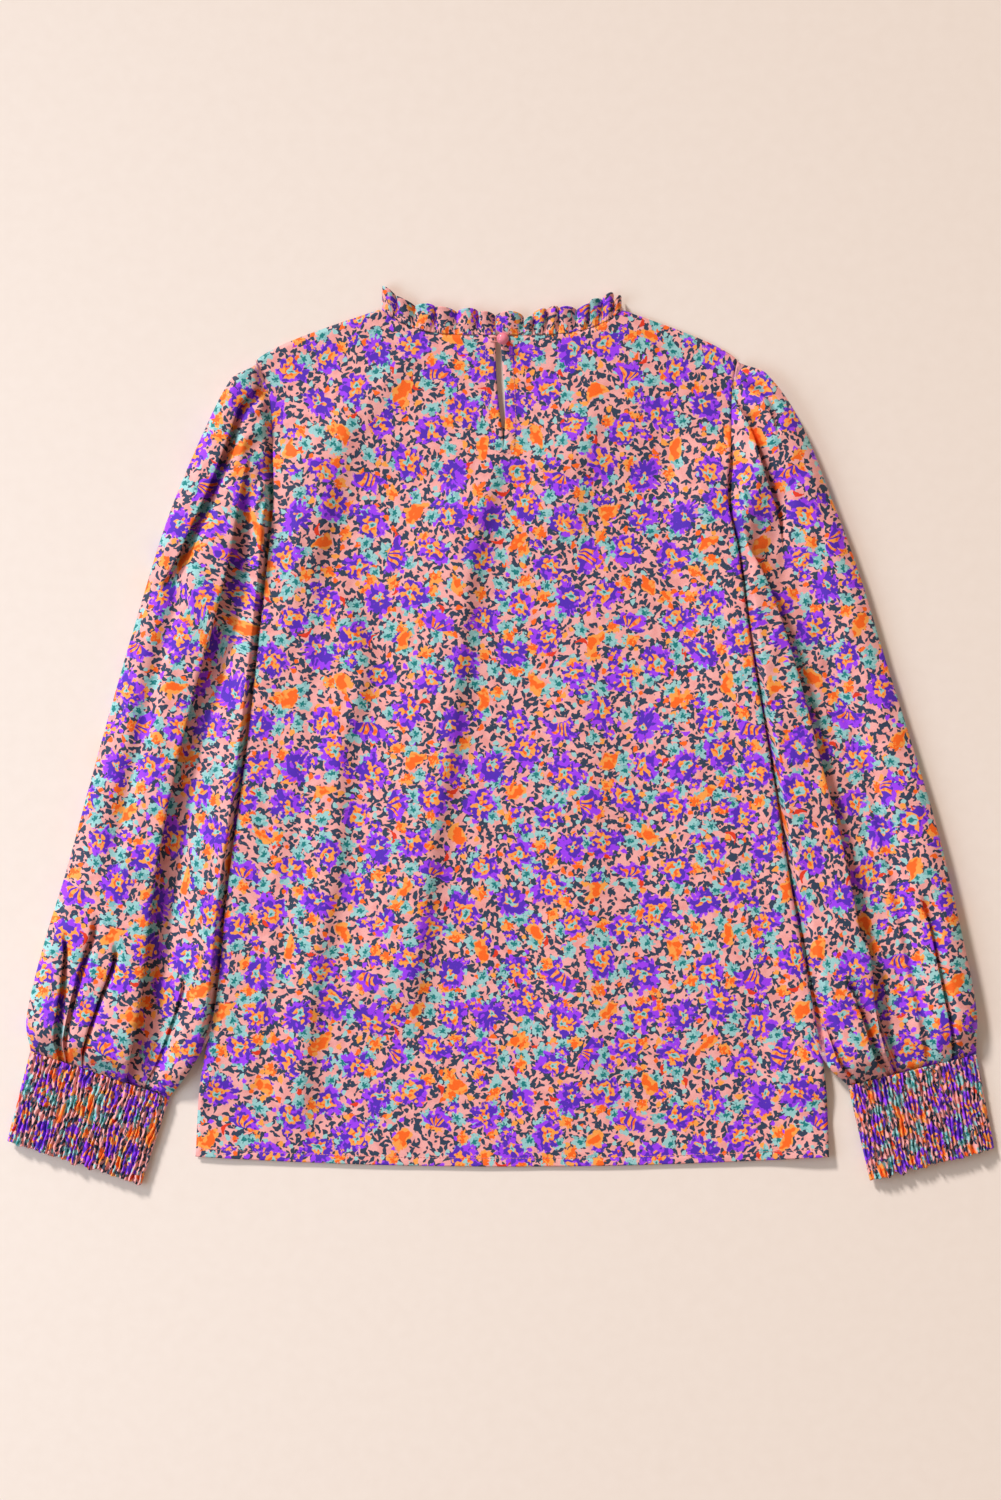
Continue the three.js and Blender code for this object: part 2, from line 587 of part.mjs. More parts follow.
// The hidden stretch of the ruffle, which lies on the surface inside the front's neckline
function frontRufflePiece() {
  const upper = [];
  const lower = [];
  const step = 1e-3;
  for (let j = 0; j <= FRONT_RUFFLE.up; j++) {
    const v = j / FRONT_RUFFLE.up;
    const above = [];
    const below = [];
    for (let i = 0; i <= FRONT_RUFFLE.steps; i++) {
      const share = i / FRONT_RUFFLE.steps;
      const t = lerp(FRONT_RUFFLE.neckEnd, 1 - FRONT_RUFFLE.neckEnd, 0.5 - 0.5 * Math.cos(Math.PI * share));
      const [x, y] = neckline(t, FRONT_NECK.lowest, FRONT_NECK.power);
      const [nextX, nextY] = neckline(t + step, FRONT_NECK.lowest, FRONT_NECK.power);
      const long = Math.hypot(nextX - x, nextY - y);
      const rise = 2 * SEAM_GAP + v * FRONT_RUFFLE.high;
      const z = FRONT_RUFFLE.wave * v * (0.5 - 0.5 * Math.cos(2 * Math.PI * FRONT_RUFFLE.waves * share));
      const place = [x - (rise * (nextY - y)) / long, y + (rise * (nextX - x)) / long];
      above.push([...place, z + WALL]);
      below.push([...place, z]);
    }
    upper.push(above);
    lower.push(below);
  }
  return piece("ruffle_front", facingOut(wall(upper, lower)), CLOTH);
}

// The button and its loop

const BACK_TOP = 2 * WALL + SEAM_GAP + NECK_RISE.high; // the back's upper face beside the slit

// A flattened ball on a short shank, turned about its axis
function buttonPiece() {
  const steps = 9;
  const sides = 20;
  const shankTop = BACK_TOP + SEAM_GAP + BUTTON.shankHigh;
  const startAngle = Math.asin(BUTTON.shank / BUTTON.radius);
  const centre = shankTop + BUTTON.high * Math.cos(startAngle);
  const foot = BACK_TOP + SEAM_GAP;
  const profile = [new THREE.Vector2(0, foot), new THREE.Vector2(BUTTON.shank, foot)];
  for (let i = 0; i <= steps; i++) {
    const angle = lerp(startAngle, Math.PI, i / steps);
    const radius = i === steps ? 0 : BUTTON.radius * Math.sin(angle);
    profile.push(new THREE.Vector2(radius, centre - BUTTON.high * Math.cos(angle)));
  }
  const turned = new THREE.LatheGeometry(profile, sides);
  turned.rotateX(Math.PI / 2);
  turned.translate(BUTTON.x - LAY.x, BUTTON.y - LAY.y, 0);
  return piece("button", turned, GLOSSY);
}

// A thread sewn down at the left of the slit, which passes round the shank
function loopPiece() {
  const bends = 6;
  const z = BACK_TOP + SEAM_GAP + LOOP.thread;
  const round = BUTTON.shank + SEAM_GAP + LOOP.thread;
  const path = [new THREE.Vector3(LOOP.from, BUTTON.y + LOOP.spread, z)];
  for (let i = 0; i <= bends; i++) {
    const angle = lerp(Math.PI / 2, -Math.PI / 2, i / bends);
    path.push(new THREE.Vector3(BUTTON.x + round * Math.cos(angle), BUTTON.y + round * Math.sin(angle), z));
  }
  path.push(new THREE.Vector3(LOOP.from, BUTTON.y - LOOP.spread, z));
  const section = new THREE.Shape();
  section.absarc(0, 0, LOOP.thread, 0, 2 * Math.PI);
  const extrudePath = new THREE.CatmullRomCurve3(path, false, "centripetal");
  const thread = new THREE.ExtrudeGeometry(section, { steps: 24, curveSegments: 4, extrudePath });
  thread.translate(-LAY.x, -LAY.y, 0);
  return piece("button_loop", thread, CLOTH);
}

const SLEEVES = {
  left: { side: "left", rows: SLEEVE_LEFT, valleys: VALLEYS_LEFT },
  right: { side: "right", rows: SLEEVE_RIGHT, valleys: VALLEYS_RIGHT },
};

export default new THREE.Group().add(
  bodyBack(),
  bodyFront(),
  sleevePiece("sleeve_left", SLEEVES.left),
  sleevePiece("sleeve_right", SLEEVES.right),
  cuffPiece("cuff_left", SLEEVE_LEFT.at(-1), CUFF_LEFT),
  cuffPiece("cuff_right", SLEEVE_RIGHT.at(-1), CUFF_RIGHT),
  backRufflePiece("ruffle_back_left", "left", LOBES_LEFT),
  backRufflePiece("ruffle_back_right", "right", LOBES_RIGHT),
  frontRufflePiece(),
  buttonPiece(),
  loopPiece(),
);
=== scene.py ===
# A long-sleeved blouse with a ruffled neck, laid flat with its back up.
#
# The cloth is a thin shell on the form of the fixed frame: a back with a keyhole slit, a front below it, two
# gathered sleeves, two smocked cuffs and a gathered neck ruffle, with a ball button, its loop and the sewing.
# Tables and sizes here are in millimetres, and the meshes are in metres.
import math

import bmesh
import bpy
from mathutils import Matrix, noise


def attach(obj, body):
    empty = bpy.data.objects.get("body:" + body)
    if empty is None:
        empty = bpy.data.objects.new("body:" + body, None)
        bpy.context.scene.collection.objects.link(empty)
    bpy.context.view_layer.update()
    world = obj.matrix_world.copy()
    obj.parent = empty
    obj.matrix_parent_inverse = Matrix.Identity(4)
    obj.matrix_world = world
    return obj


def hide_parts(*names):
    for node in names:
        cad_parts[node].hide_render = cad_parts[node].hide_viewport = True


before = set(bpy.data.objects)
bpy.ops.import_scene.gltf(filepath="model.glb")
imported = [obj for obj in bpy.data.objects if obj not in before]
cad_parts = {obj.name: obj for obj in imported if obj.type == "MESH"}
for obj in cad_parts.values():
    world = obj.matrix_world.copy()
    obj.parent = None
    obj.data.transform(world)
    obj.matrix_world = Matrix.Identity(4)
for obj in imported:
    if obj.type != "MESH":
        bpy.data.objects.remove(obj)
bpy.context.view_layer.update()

bl_info = {
    "name": "Printed blouse",
    "version": (1, 0, 0),
    "blender": (4, 5, 0),
    "location": "3D View > Sidebar > Blouse",
    "description": "Builds a printed blouse laid flat, with its cloth, sewing, button and studio",
    "category": "Add Mesh",
}

MM = 0.001
LAY = {"x": 0.2, "y": 3.0}  # the middle of the outline, which is the origin
FULL_TURN = 2 * math.pi

# The walls of the frame, which set how high each layer lies
WALL = 1.2
SEAM_GAP = 0.3
SLEEVE_FLAT = 2 * WALL + SEAM_GAP
NECK_RISE = {"high": 1.8, "from": 196, "run": 26, "half_width": 140, "side": 40}
OVER_SLEEVE = {"flat": 33, "run": 18, "top": 240, "top_run": 30, "bottom": -300, "bottom_run": 36}

# The body's outline: y, left and right side
BODY_SIDES = [
    {"y": -326, "left": -237.5, "right": 255.5},
    {"y": -281, "left": -235, "right": 254},
    {"y": -250, "left": -230.5, "right": 250.5},
    {"y": -203, "left": -221, "right": 242},
    {"y": -116, "left": -212, "right": 226},
    {"y": -18, "left": -198.5, "right": 210},
    {"y": 79, "left": -187.5, "right": 194},
    {"y": 148, "left": -180, "right": 184.5},
    {"y": 184, "left": -176.5, "right": 177},
    {"y": 233, "left": -177.5, "right": 179.6},
    {"y": 265, "left": -180, "right": 180},
    {"y": 281, "left": -184.5, "right": 182},
    {"y": 294.5, "left": -190, "right": 184.5},
]
HEM = {"corner": -326, "middle": -334}
SHOULDER = {"y": 294.5, "crown": 4, "power": 0.6}
NECK = {"left": -93, "right": 95, "point_left": 333.8, "point_right": 333.2, "back": 313.6, "power": 4}
FRONT_NECK = {"lowest": 220, "power": 2.6}

# The keyhole slit: y and its two edges
SLIT = [
    {"y": 229, "left": 2.8, "right": 2.8},
    {"y": 248, "left": 0.2, "right": 3.6},
    {"y": 268, "left": -2.2, "right": 3.3},
    {"y": 288, "left": -3.5, "right": 1.7},
    {"y": 306, "left": -3.7, "right": 0.4},
    {"y": 330, "left": -4, "right": -0.2},
]
# The row of stitches round the slit: its distance, and how far below it ends
SLIT_STITCH = {"off": 8, "below": 6}
HEM_STITCH = 6.5  # the height of the hem's row of stitches

# The back's soft creases. Each is a crest that rises slowly on its left and falls faster on its right.
BACK_CREASES = [
    {"high": 5.4, "rise": 40, "fall": 13, "path": [(-121, 262), (-134, 193), (-150, 128)]},
    {"high": 6.2, "rise": 44, "fall": 11,
     "path": [(-128, 118), (-111, 52), (-127, -14), (-131, -91), (-150, -200), (-158, -300)]},
    {"high": 6.6, "rise": 52, "fall": 11,
     "path": [(-8, 205), (-25, 138), (-40, 8), (-50, -52), (-62, -128), (-72, -210)]},
    {"high": 3.2, "rise": 30, "fall": 14, "path": [(70, 262), (58, 215), (52, 160)]},
    {"high": 3.6, "rise": 34, "fall": 16, "path": [(150, 30), (162, -40), (176, -120), (190, -230)]},
    {"high": 2.2, "rise": 30, "fall": 20, "path": [(58, 60), (66, -40), (60, -150), (72, -280)]},
    {"high": 2.0, "rise": 16, "fall": 10, "path": [(-70, 300), (-96, 268), (-110, 236)]},
    {"high": 2.2, "rise": 14, "fall": 12, "path": [(148, 236), (160, 196), (166, 150)]},
    {"high": 2.0, "rise": 15, "fall": 10, "path": [(-166, 214), (-158, 150), (-170, 60)]},
]
CREASE_FADE = 34  # how far each end of a crease takes to fade out
CORNER = {"left": 1.5, "right": 5, "run": 38}
EDGE_RIDGE = {"high": 3.5, "in": 5, "half": 15}

# Each sleeve's sections: the share of its length, its outer and inner edges, and how puffed it is
SLEEVE_LEFT = [
    {"along": 0, "xo": -190.4, "yo": 294, "xi": -169, "yi": 136, "puff": 0.1},
    {"along": 0.08, "xo": -209.5, "yo": 279, "xi": -166.5, "yi": 101, "puff": 0.8},
    {"along": 0.2, "xo": -234.5, "yo": 229.5, "xi": -167.5, "yi": 62, "puff": 1},
    {"along": 0.32, "xo": -258.5, "yo": 171, "xi": -171, "yi": 15, "puff": 0.95},
    {"along": 0.45, "xo": -278, "yo": 109, "xi": -178, "yi": -39.5, "puff": 0.85},
    {"along": 0.58, "xo": -298.5, "yo": 38.5, "xi": -187.5, "yi": -94, "puff": 0.8},
    {"along": 0.7, "xo": -318, "yo": -31.5, "xi": -198.5, "yi": -144.5, "puff": 0.8},
    {"along": 0.82, "xo": -337.5, "yo": -103.5, "xi": -211, "yi": -191.5, "puff": 0.9},
    {"along": 0.91, "xo": -356, "yo": -164, "xi": -225.5, "yi": -230.5, "puff": 1},
    {"along": 0.97, "xo": -368.5, "yo": -218.5, "xi": -242, "yi": -259.5, "puff": 1},
    {"along": 1, "xo": -366, "yo": -243.5, "xi": -257.5, "yi": -279.5, "puff": 0.75},
]
SLEEVE_RIGHT = [
    {"along": 0, "xo": 184.9, "yo": 294, "xi": 173, "yi": 136, "puff": 0.1},
    {"along": 0.08, "xo": 206.5, "yo": 283.5, "xi": 170.5, "yi": 99.5, "puff": 0.8},
    {"along": 0.2, "xo": 233, "yo": 246, "xi": 173, "yi": 58, "puff": 1},
    {"along": 0.32, "xo": 257, "yo": 187, "xi": 180, "yi": 11.5, "puff": 0.95},
    {"along": 0.45, "xo": 278, "yo": 130.5, "xi": 188.5, "yi": -43.5, "puff": 0.85},
    {"along": 0.58, "xo": 298.5, "yo": 63.5, "xi": 199.5, "yi": -98, "puff": 0.8},
    {"along": 0.7, "xo": 318.5, "yo": -0.5, "xi": 212, "yi": -144.5, "puff": 0.8},
    {"along": 0.82, "xo": 339.5, "yo": -70.5, "xi": 226, "yi": -191.5, "puff": 0.9},
    {"along": 0.91, "xo": 357, "yo": -144.5, "xi": 240, "yi": -226.5, "puff": 1},
    {"along": 0.97, "xo": 370, "yo": -211, "xi": 255, "yi": -256, "puff": 1},
    {"along": 1, "xo": 370.5, "yo": -246, "xi": 270.5, "yi": -270.5, "puff": 0.75},
]
ARMHOLE = {"end": 184, "run": 0.08}

# The valleys between pleats: the stretch of the sleeve, the place across it at five even steps, the depth, and
# how fast the cloth falls before the valley and rises after it, as shares of the width
PLEATS_LEFT = [
    {"from": 0, "to": 0.42, "at": (0.04, 0.14, 0.155, 0.13, 0.1), "deep": 1, "before": 0.015, "after": 0.07},
    {"from": 0.04, "to": 1, "at": (0.34, 0.43, 0.41, 0.455, 0.6), "deep": 1, "before": 0.012, "after": 0.29},
    {"from": 0.62, "to": 1, "at": (0.6, 0.56, 0.57, 0.6, 0.65), "deep": 0.7, "before": 0.03, "after": 0.05},
    {"from": 0.86, "to": 1, "at": (0.38, 0.37, 0.36, 0.35, 0.34), "deep": 0.85, "before": 0.015, "after": 0.03},
    {"from": 0.84, "to": 1, "at": (0.24, 0.23, 0.23, 0.24, 0.25), "deep": 0.6, "before": 0.02, "after": 0.03},
    {"from": 0.88, "to": 1, "at": (0.1, 0.12, 0.15, 0.17, 0.18), "deep": 0.8, "before": 0.015, "after": 0.03},
    {"from": 0.84, "to": 1, "at": (0.76, 0.77, 0.78, 0.79, 0.8), "deep": 0.7, "before": 0.02, "after": 0.04},
    {"from": 0.3, "to": 0.8, "at": (0.22, 0.2, 0.2, 0.22, 0.24), "deep": 0.3, "before": 0.06, "after": 0.05},
]
PLEATS_RIGHT = [
    {"from": 0, "to": 0.16, "at": (0.11, 0.1, 0.1, 0.12, 0.14), "deep": 0.6, "before": 0.03, "after": 0.02},
    {"from": 0, "to": 0.28, "at": (0.1, 0.27, 0.33, 0.35, 0.37), "deep": 0.95, "before": 0.07, "after": 0.015},
    {"from": 0.08, "to": 1, "at": (0.62, 0.535, 0.512, 0.55, 0.68), "deep": 1, "before": 0.3, "after": 0.018},
    {"from": 0.4, "to": 1, "at": (0.34, 0.3, 0.28, 0.31, 0.36), "deep": 0.5, "before": 0.05, "after": 0.045},
    {"from": 0.7, "to": 1, "at": (0.82, 0.86, 0.89, 0.91, 0.93), "deep": 0.6, "before": 0.03, "after": 0.02},
    {"from": 0.88, "to": 1, "at": (0.71, 0.72, 0.72, 0.73, 0.73), "deep": 0.8, "before": 0.03, "after": 0.015},
    {"from": 0.84, "to": 1, "at": (0.6, 0.6, 0.61, 0.61, 0.62), "deep": 0.75, "before": 0.03, "after": 0.015},
    {"from": 0.86, "to": 1, "at": (0.18, 0.18, 0.19, 0.2, 0.2), "deep": 0.6, "before": 0.03, "after": 0.02},
]
PLEAT_FADE = 0.22
ROUND_EDGE = {"high": 8.5, "at_cuff": 3.8, "run": 8, "free_from": 0.86}
PLEAT_ROLL = {"over": 8, "least": 0.022, "narrow": 0.6}

CUFF_LEFT = {"xo": -384, "yo": -313.5, "xi": -279.5, "yi": -347.5}
CUFF_RIGHT = {"xo": 384.5, "yo": -319.5, "xi": 287.5, "yi": -344.5}
CUFF = {"ribs": 30, "rows": 9, "top": 8.2, "free": 0.055, "flare": 2.8, "gathered": 2.1}

# The ruffle's lobes from the slit outwards: width along the seam, height, and how far each leans
LOBES_LEFT = [
    {"wide": 14, "high": 17.5, "lean": 0.1},
    {"wide": 17, "high": 20, "lean": -0.1},
    {"wide": 17, "high": 20.5, "lean": 0.15},
    {"wide": 16, "high": 20, "lean": -0.2},
    {"wide": 14, "high": 20.5, "lean": 0.2},
    {"wide": 12, "high": 20.5, "lean": 0.05},
]
LOBES_RIGHT = [
    {"wide": 18, "high": 18.5, "lean": 0},
    {"wide": 7, "high": 13, "lean": 0.1},
    {"wide": 10, "high": 19.5, "lean": 0.15},
    {"wide": 10, "high": 21.5, "lean": 0.1},
    {"wide": 14, "high": 20, "lean": -0.15},
    {"wide": 9, "high": 19.5, "lean": 0.2},
    {"wide": 11, "high": 20, "lean": -0.1},
    {"wide": 9, "high": 21.5, "lean": 0.05},
    {"wide": 6, "high": 13, "lean": 0},
]
RUFFLE = {"wave": 5, "at_seam": 0.9, "notch": 3, "roll": 0.17, "gather": 5, "gather_high": 0.5,
          "overlap": 3.6}
FRONT_RUFFLE = {"high": 21, "waves": 14, "wave": 0.9}

BUTTON = {"x": 1.7, "y": 310.4, "radius": 4.7, "high": 3.9, "shank": 1.3, "shank_high": 1.7}
LOOP = {"thread": 0.55, "from": -8, "spread": 1.5}

# The printed repeat: each flower's place in it, its kind and its turn. Kind 0 is a broad flower with an orange
# heart, 1 a dark daisy, 2 an orange bloom, and 3 a flower seen from its side with an orange comb.
PRINT_FLOWERS = [
    (12, 14, 0, 0.10), (47, 8, 3, 0.55), (78, 20, 0, 0.70), (113, 10, 1, 0.30), (136, 30, 2, 0.80),
    (28, 42, 2, 0.20), (58, 50, 0, 0.40), (95, 46, 0, 0.90), (122, 60, 0, 0.15), (8, 66, 1, 0.60),
    (36, 78, 0, 0.85), (74, 76, 2, 0.35), (100, 88, 3, 0.05), (138, 92, 0, 0.50), (16, 104, 0, 0.25),
    (54, 108, 1, 0.75), (82, 112, 0, 0.45), (116, 118, 2, 0.65), (38, 134, 0, 0.95), (66, 142, 3, 0.30),
    (98, 146, 0, 0.60), (134, 142, 0, 0.05), (12, 152, 2, 0.40), (50, 168, 0, 0.15), (84, 176, 2, 0.90),
    (112, 172, 0, 0.35), (20, 182, 0, 0.70), (142, 172, 1, 0.85),
]
PRINT_COLOURS = ("ground", "ground_deep", "violet_dark", "violet_bright", "orange_light", "orange_deep", "aqua",
                 "aqua_deep", "teal", "leaf", "red")


def lerp(a, b, t):
    return a + (b - a) * t


def clamp(x, low=0.0, high=1.0):
    return min(high, max(low, x))


def smooth(x):
    t = clamp(x)
    return t * t * (3 - 2 * t)


def column(rows, at, place, name):
    """The value of one column of a table at a place, on a smooth curve through its rows."""
    i = 0
    while i < len(rows) - 2 and place > rows[i + 1][at]:
        i += 1
    a, b = rows[i], rows[i + 1]
    before, after = rows[max(i - 1, 0)], rows[min(i + 2, len(rows) - 1)]
    span = b[at] - a[at]
    t = clamp((place - a[at]) / span)
    slope_a = (b[name] - before[name]) / (b[at] - before[at])
    slope_b = (after[name] - a[name]) / (after[at] - a[at])
    return lerp(a[name], b[name], smooth(t)) + span * t * (1 - t) * (slope_a * (1 - t) - slope_b * t)


def five_steps(values, t):
    """The value at a share of five even steps, on a smooth curve."""
    rows = [{"t": i / 4, "v": value} for i, value in enumerate(values)]
    return column(rows, "t", t, "v")


def side(name, y):
    return column(BODY_SIDES, "y", clamp(y, HEM["corner"], SHOULDER["y"]), name)


def inside_body(x, y):
    return min(x - side("left", y), side("right", y) - x)


def wobble(x, y, size, seed=0.0):
    """Smooth uneven noise from -1 to 1, the same on each run."""
    return noise.noise((x / size + seed, y / size - seed, seed))


# Heights of the layers

def over_sleeve(x, y):
    near = smooth((OVER_SLEEVE["flat"] + OVER_SLEEVE["run"] - inside_body(x, y)) / OVER_SLEEVE["run"])
    upper = smooth((OVER_SLEEVE["top"] - y) / OVER_SLEEVE["top_run"])
    lower = smooth((y - OVER_SLEEVE["bottom"]) / OVER_SLEEVE["bottom_run"])
    return (SLEEVE_FLAT + SEAM_GAP) * near * upper * lower


def over_ruffle(x, y):
    upper = smooth((y - NECK_RISE["from"]) / NECK_RISE["run"])
    return NECK_RISE["high"] * upper * smooth((NECK_RISE["half_width"] - abs(x)) / NECK_RISE["side"])


def crease_height(crease, x, y):
    """A crest that runs down the cloth, with its own slope on each side."""
    path = crease["path"]
    top, bottom = path[0][1], path[-1][1]
    if y > top + CREASE_FADE or y < bottom - CREASE_FADE:
        return 0.0
    rows = [{"y": py, "x": px} for px, py in reversed(path)]
    off = x - column(rows, "y", clamp(y, bottom, top), "x")
    half = crease["rise"] if off < 0 else crease["fall"]
    fade = smooth((top + CREASE_FADE - y) / (2 * CREASE_FADE))
    fade *= smooth((y - bottom + CREASE_FADE) / (2 * CREASE_FADE))
    return crease["high"] * fade * math.exp(-((off / half) ** 2))


def edge_ridge(x, y):
    """The body's sides stand up where they lie on the full sleeves."""
    off = (inside_body(x, y) - EDGE_RIDGE["in"]) / EDGE_RIDGE["half"]
    upper = smooth((OVER_SLEEVE["top"] - y) / OVER_SLEEVE["top_run"])
    lower = smooth((y - OVER_SLEEVE["bottom"]) / OVER_SLEEVE["bottom_run"])
    return EDGE_RIDGE["high"] * upper * lower * math.exp(-off * off)


def corner_lift(x, y):
    """The hem's corners curl a little off the board."""
    lift = 0.0
    for name in ("left", "right"):
        off = math.dist((x, y), (side(name, HEM["corner"]), HEM["corner"]))
        lift += CORNER[name] * math.exp(-((off / CORNER["run"]) ** 2))
    return lift


def back_height(x, y):
    creases = sum(crease_height(crease, x, y) for crease in BACK_CREASES)
    uneven = 0.5 * wobble(x, y, 60, 3.0) + 0.22 * wobble(x, y, 24, 7.0)
    from_edge = smooth(inside_body(x, y) / 25)
    layers = over_sleeve(x, y) + WALL + SEAM_GAP + over_ruffle(x, y) + corner_lift(x, y) + edge_ridge(x, y)
    return layers + (creases + uneven + 0.5) * from_edge


# The outline's curves

def neckline(t, lowest, power):
    share = abs(2 * t - 1) ** power
    point = lerp(NECK["point_left"], NECK["point_right"], t)
    return (lerp(NECK["left"], NECK["right"], t), lerp(lowest, point, share))


def top_edge(x, lowest=None, power=None):
    """The height of the panel's top edge above a place across it."""
    lowest = NECK["back"] if lowest is None else lowest
    power = NECK["power"] if power is None else power
    if NECK["left"] <= x <= NECK["right"]:
        return neckline((x - NECK["left"]) / (NECK["right"] - NECK["left"]), lowest, power)[1]
    end, neck_x, neck_y = (
        (side("left", SHOULDER["y"]), NECK["left"], NECK["point_left"]) if x < 0 else
        (side("right", SHOULDER["y"]), NECK["right"], NECK["point_right"]))
    t = clamp((x - end) / (neck_x - end))
    return lerp(SHOULDER["y"], neck_y, t) + SHOULDER["crown"] * math.sin(math.pi * t ** SHOULDER["power"])


def panel_place(u, v, lowest=None, power=None):
    """A place on a body panel: u runs across it and v from the hem to the top edge."""
    top_x = lerp(side("left", SHOULDER["y"]), side("right", SHOULDER["y"]), u)
    hem_y = HEM["corner"] + (HEM["middle"] - HEM["corner"]) * (1 - (2 * u - 1) ** 2)
    side_y = lerp(HEM["corner"], SHOULDER["y"], v)
    x = lerp(side("left", side_y), side("right", side_y), u)
    return (x, lerp(hem_y, top_edge(top_x, lowest, power), v))


# Meshes

def new_piece(name, points, faces, corners, materials, thick=0.0):
    """A mesh from points in millimetres, with the cloth's own coordinates at each face corner."""
    mesh = bpy.data.meshes.new(name)
    mesh.from_pydata([((x - LAY["x"]) * MM, (y - LAY["y"]) * MM, z * MM) for x, y, z in points], [], faces)
    if corners:
        layer = mesh.uv_layers.new(name="cloth")
        layer.data.foreach_set("uv", [value for corner in corners for value in corner])
    for polygon in mesh.polygons:
        polygon.use_smooth = True
    for material in materials:
        mesh.materials.append(material)
    piece = bpy.data.objects.new(name, mesh)
    bpy.context.scene.collection.objects.link(piece)
    if thick:
        shell = piece.modifiers.new("cloth thickness", "SOLIDIFY")
        shell.thickness = thick
        shell.offset = -1
        shell.use_even_offset = False
        shell.material_offset = len(materials) - 1
    return piece


def sheet_piece(name, rows, materials, thick, closed=False, facing="up"):
    """A sheet or, if closed, a tube, from rows of (x, y, z, cloth u, cloth v)."""
    across = len(rows[0]) - 1
    around = across if closed else across + 1
    points = [tuple(place[:3]) for row in rows for place in row[:around]]
    faces = []
    corners = []
    for j in range(len(rows) - 1):
        for i in range(across):
            quad = [(j, i), (j, i + 1), (j + 1, i + 1), (j + 1, i)]
            if facing == "down":
                quad.reverse()
            faces.append([row * around + place % around for row, place in quad])
            corners += [rows[row][place][3:] for row, place in quad]
    return new_piece(name, points, faces, corners, materials, thick)


def declare(piece, nodes):
    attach(piece, "root")
    if nodes:
        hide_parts(*nodes)


# Materials

def linear(hex_colour):
    """An sRGB hex colour as linear red, green, blue and alpha."""
    parts = [int(hex_colour[i:i + 2], 16) / 255 for i in (1, 3, 5)]
    return [c / 12.92 if c <= 0.04045 else ((c + 0.055) / 1.055) ** 2.4 for c in parts] + [1.0]


def add_node(tree, kind, settings=None, inputs=None):
    """Adds a node. Settings are its properties, and inputs are values or sockets by name or number."""
    node = tree.nodes.new(kind)
    for key, value in (settings or {}).items():
        setattr(node, key, value)
    for key, value in (inputs or {}).items():
        socket = node.inputs[key]
        if isinstance(value, bpy.types.NodeSocket):
            tree.links.new(value, socket)
        else:
            socket.default_value = value
    return node


def new_material(name):
    material = bpy.data.materials.new(name)
    material.use_nodes = True
    material.node_tree.nodes.clear()
    return material, material.node_tree


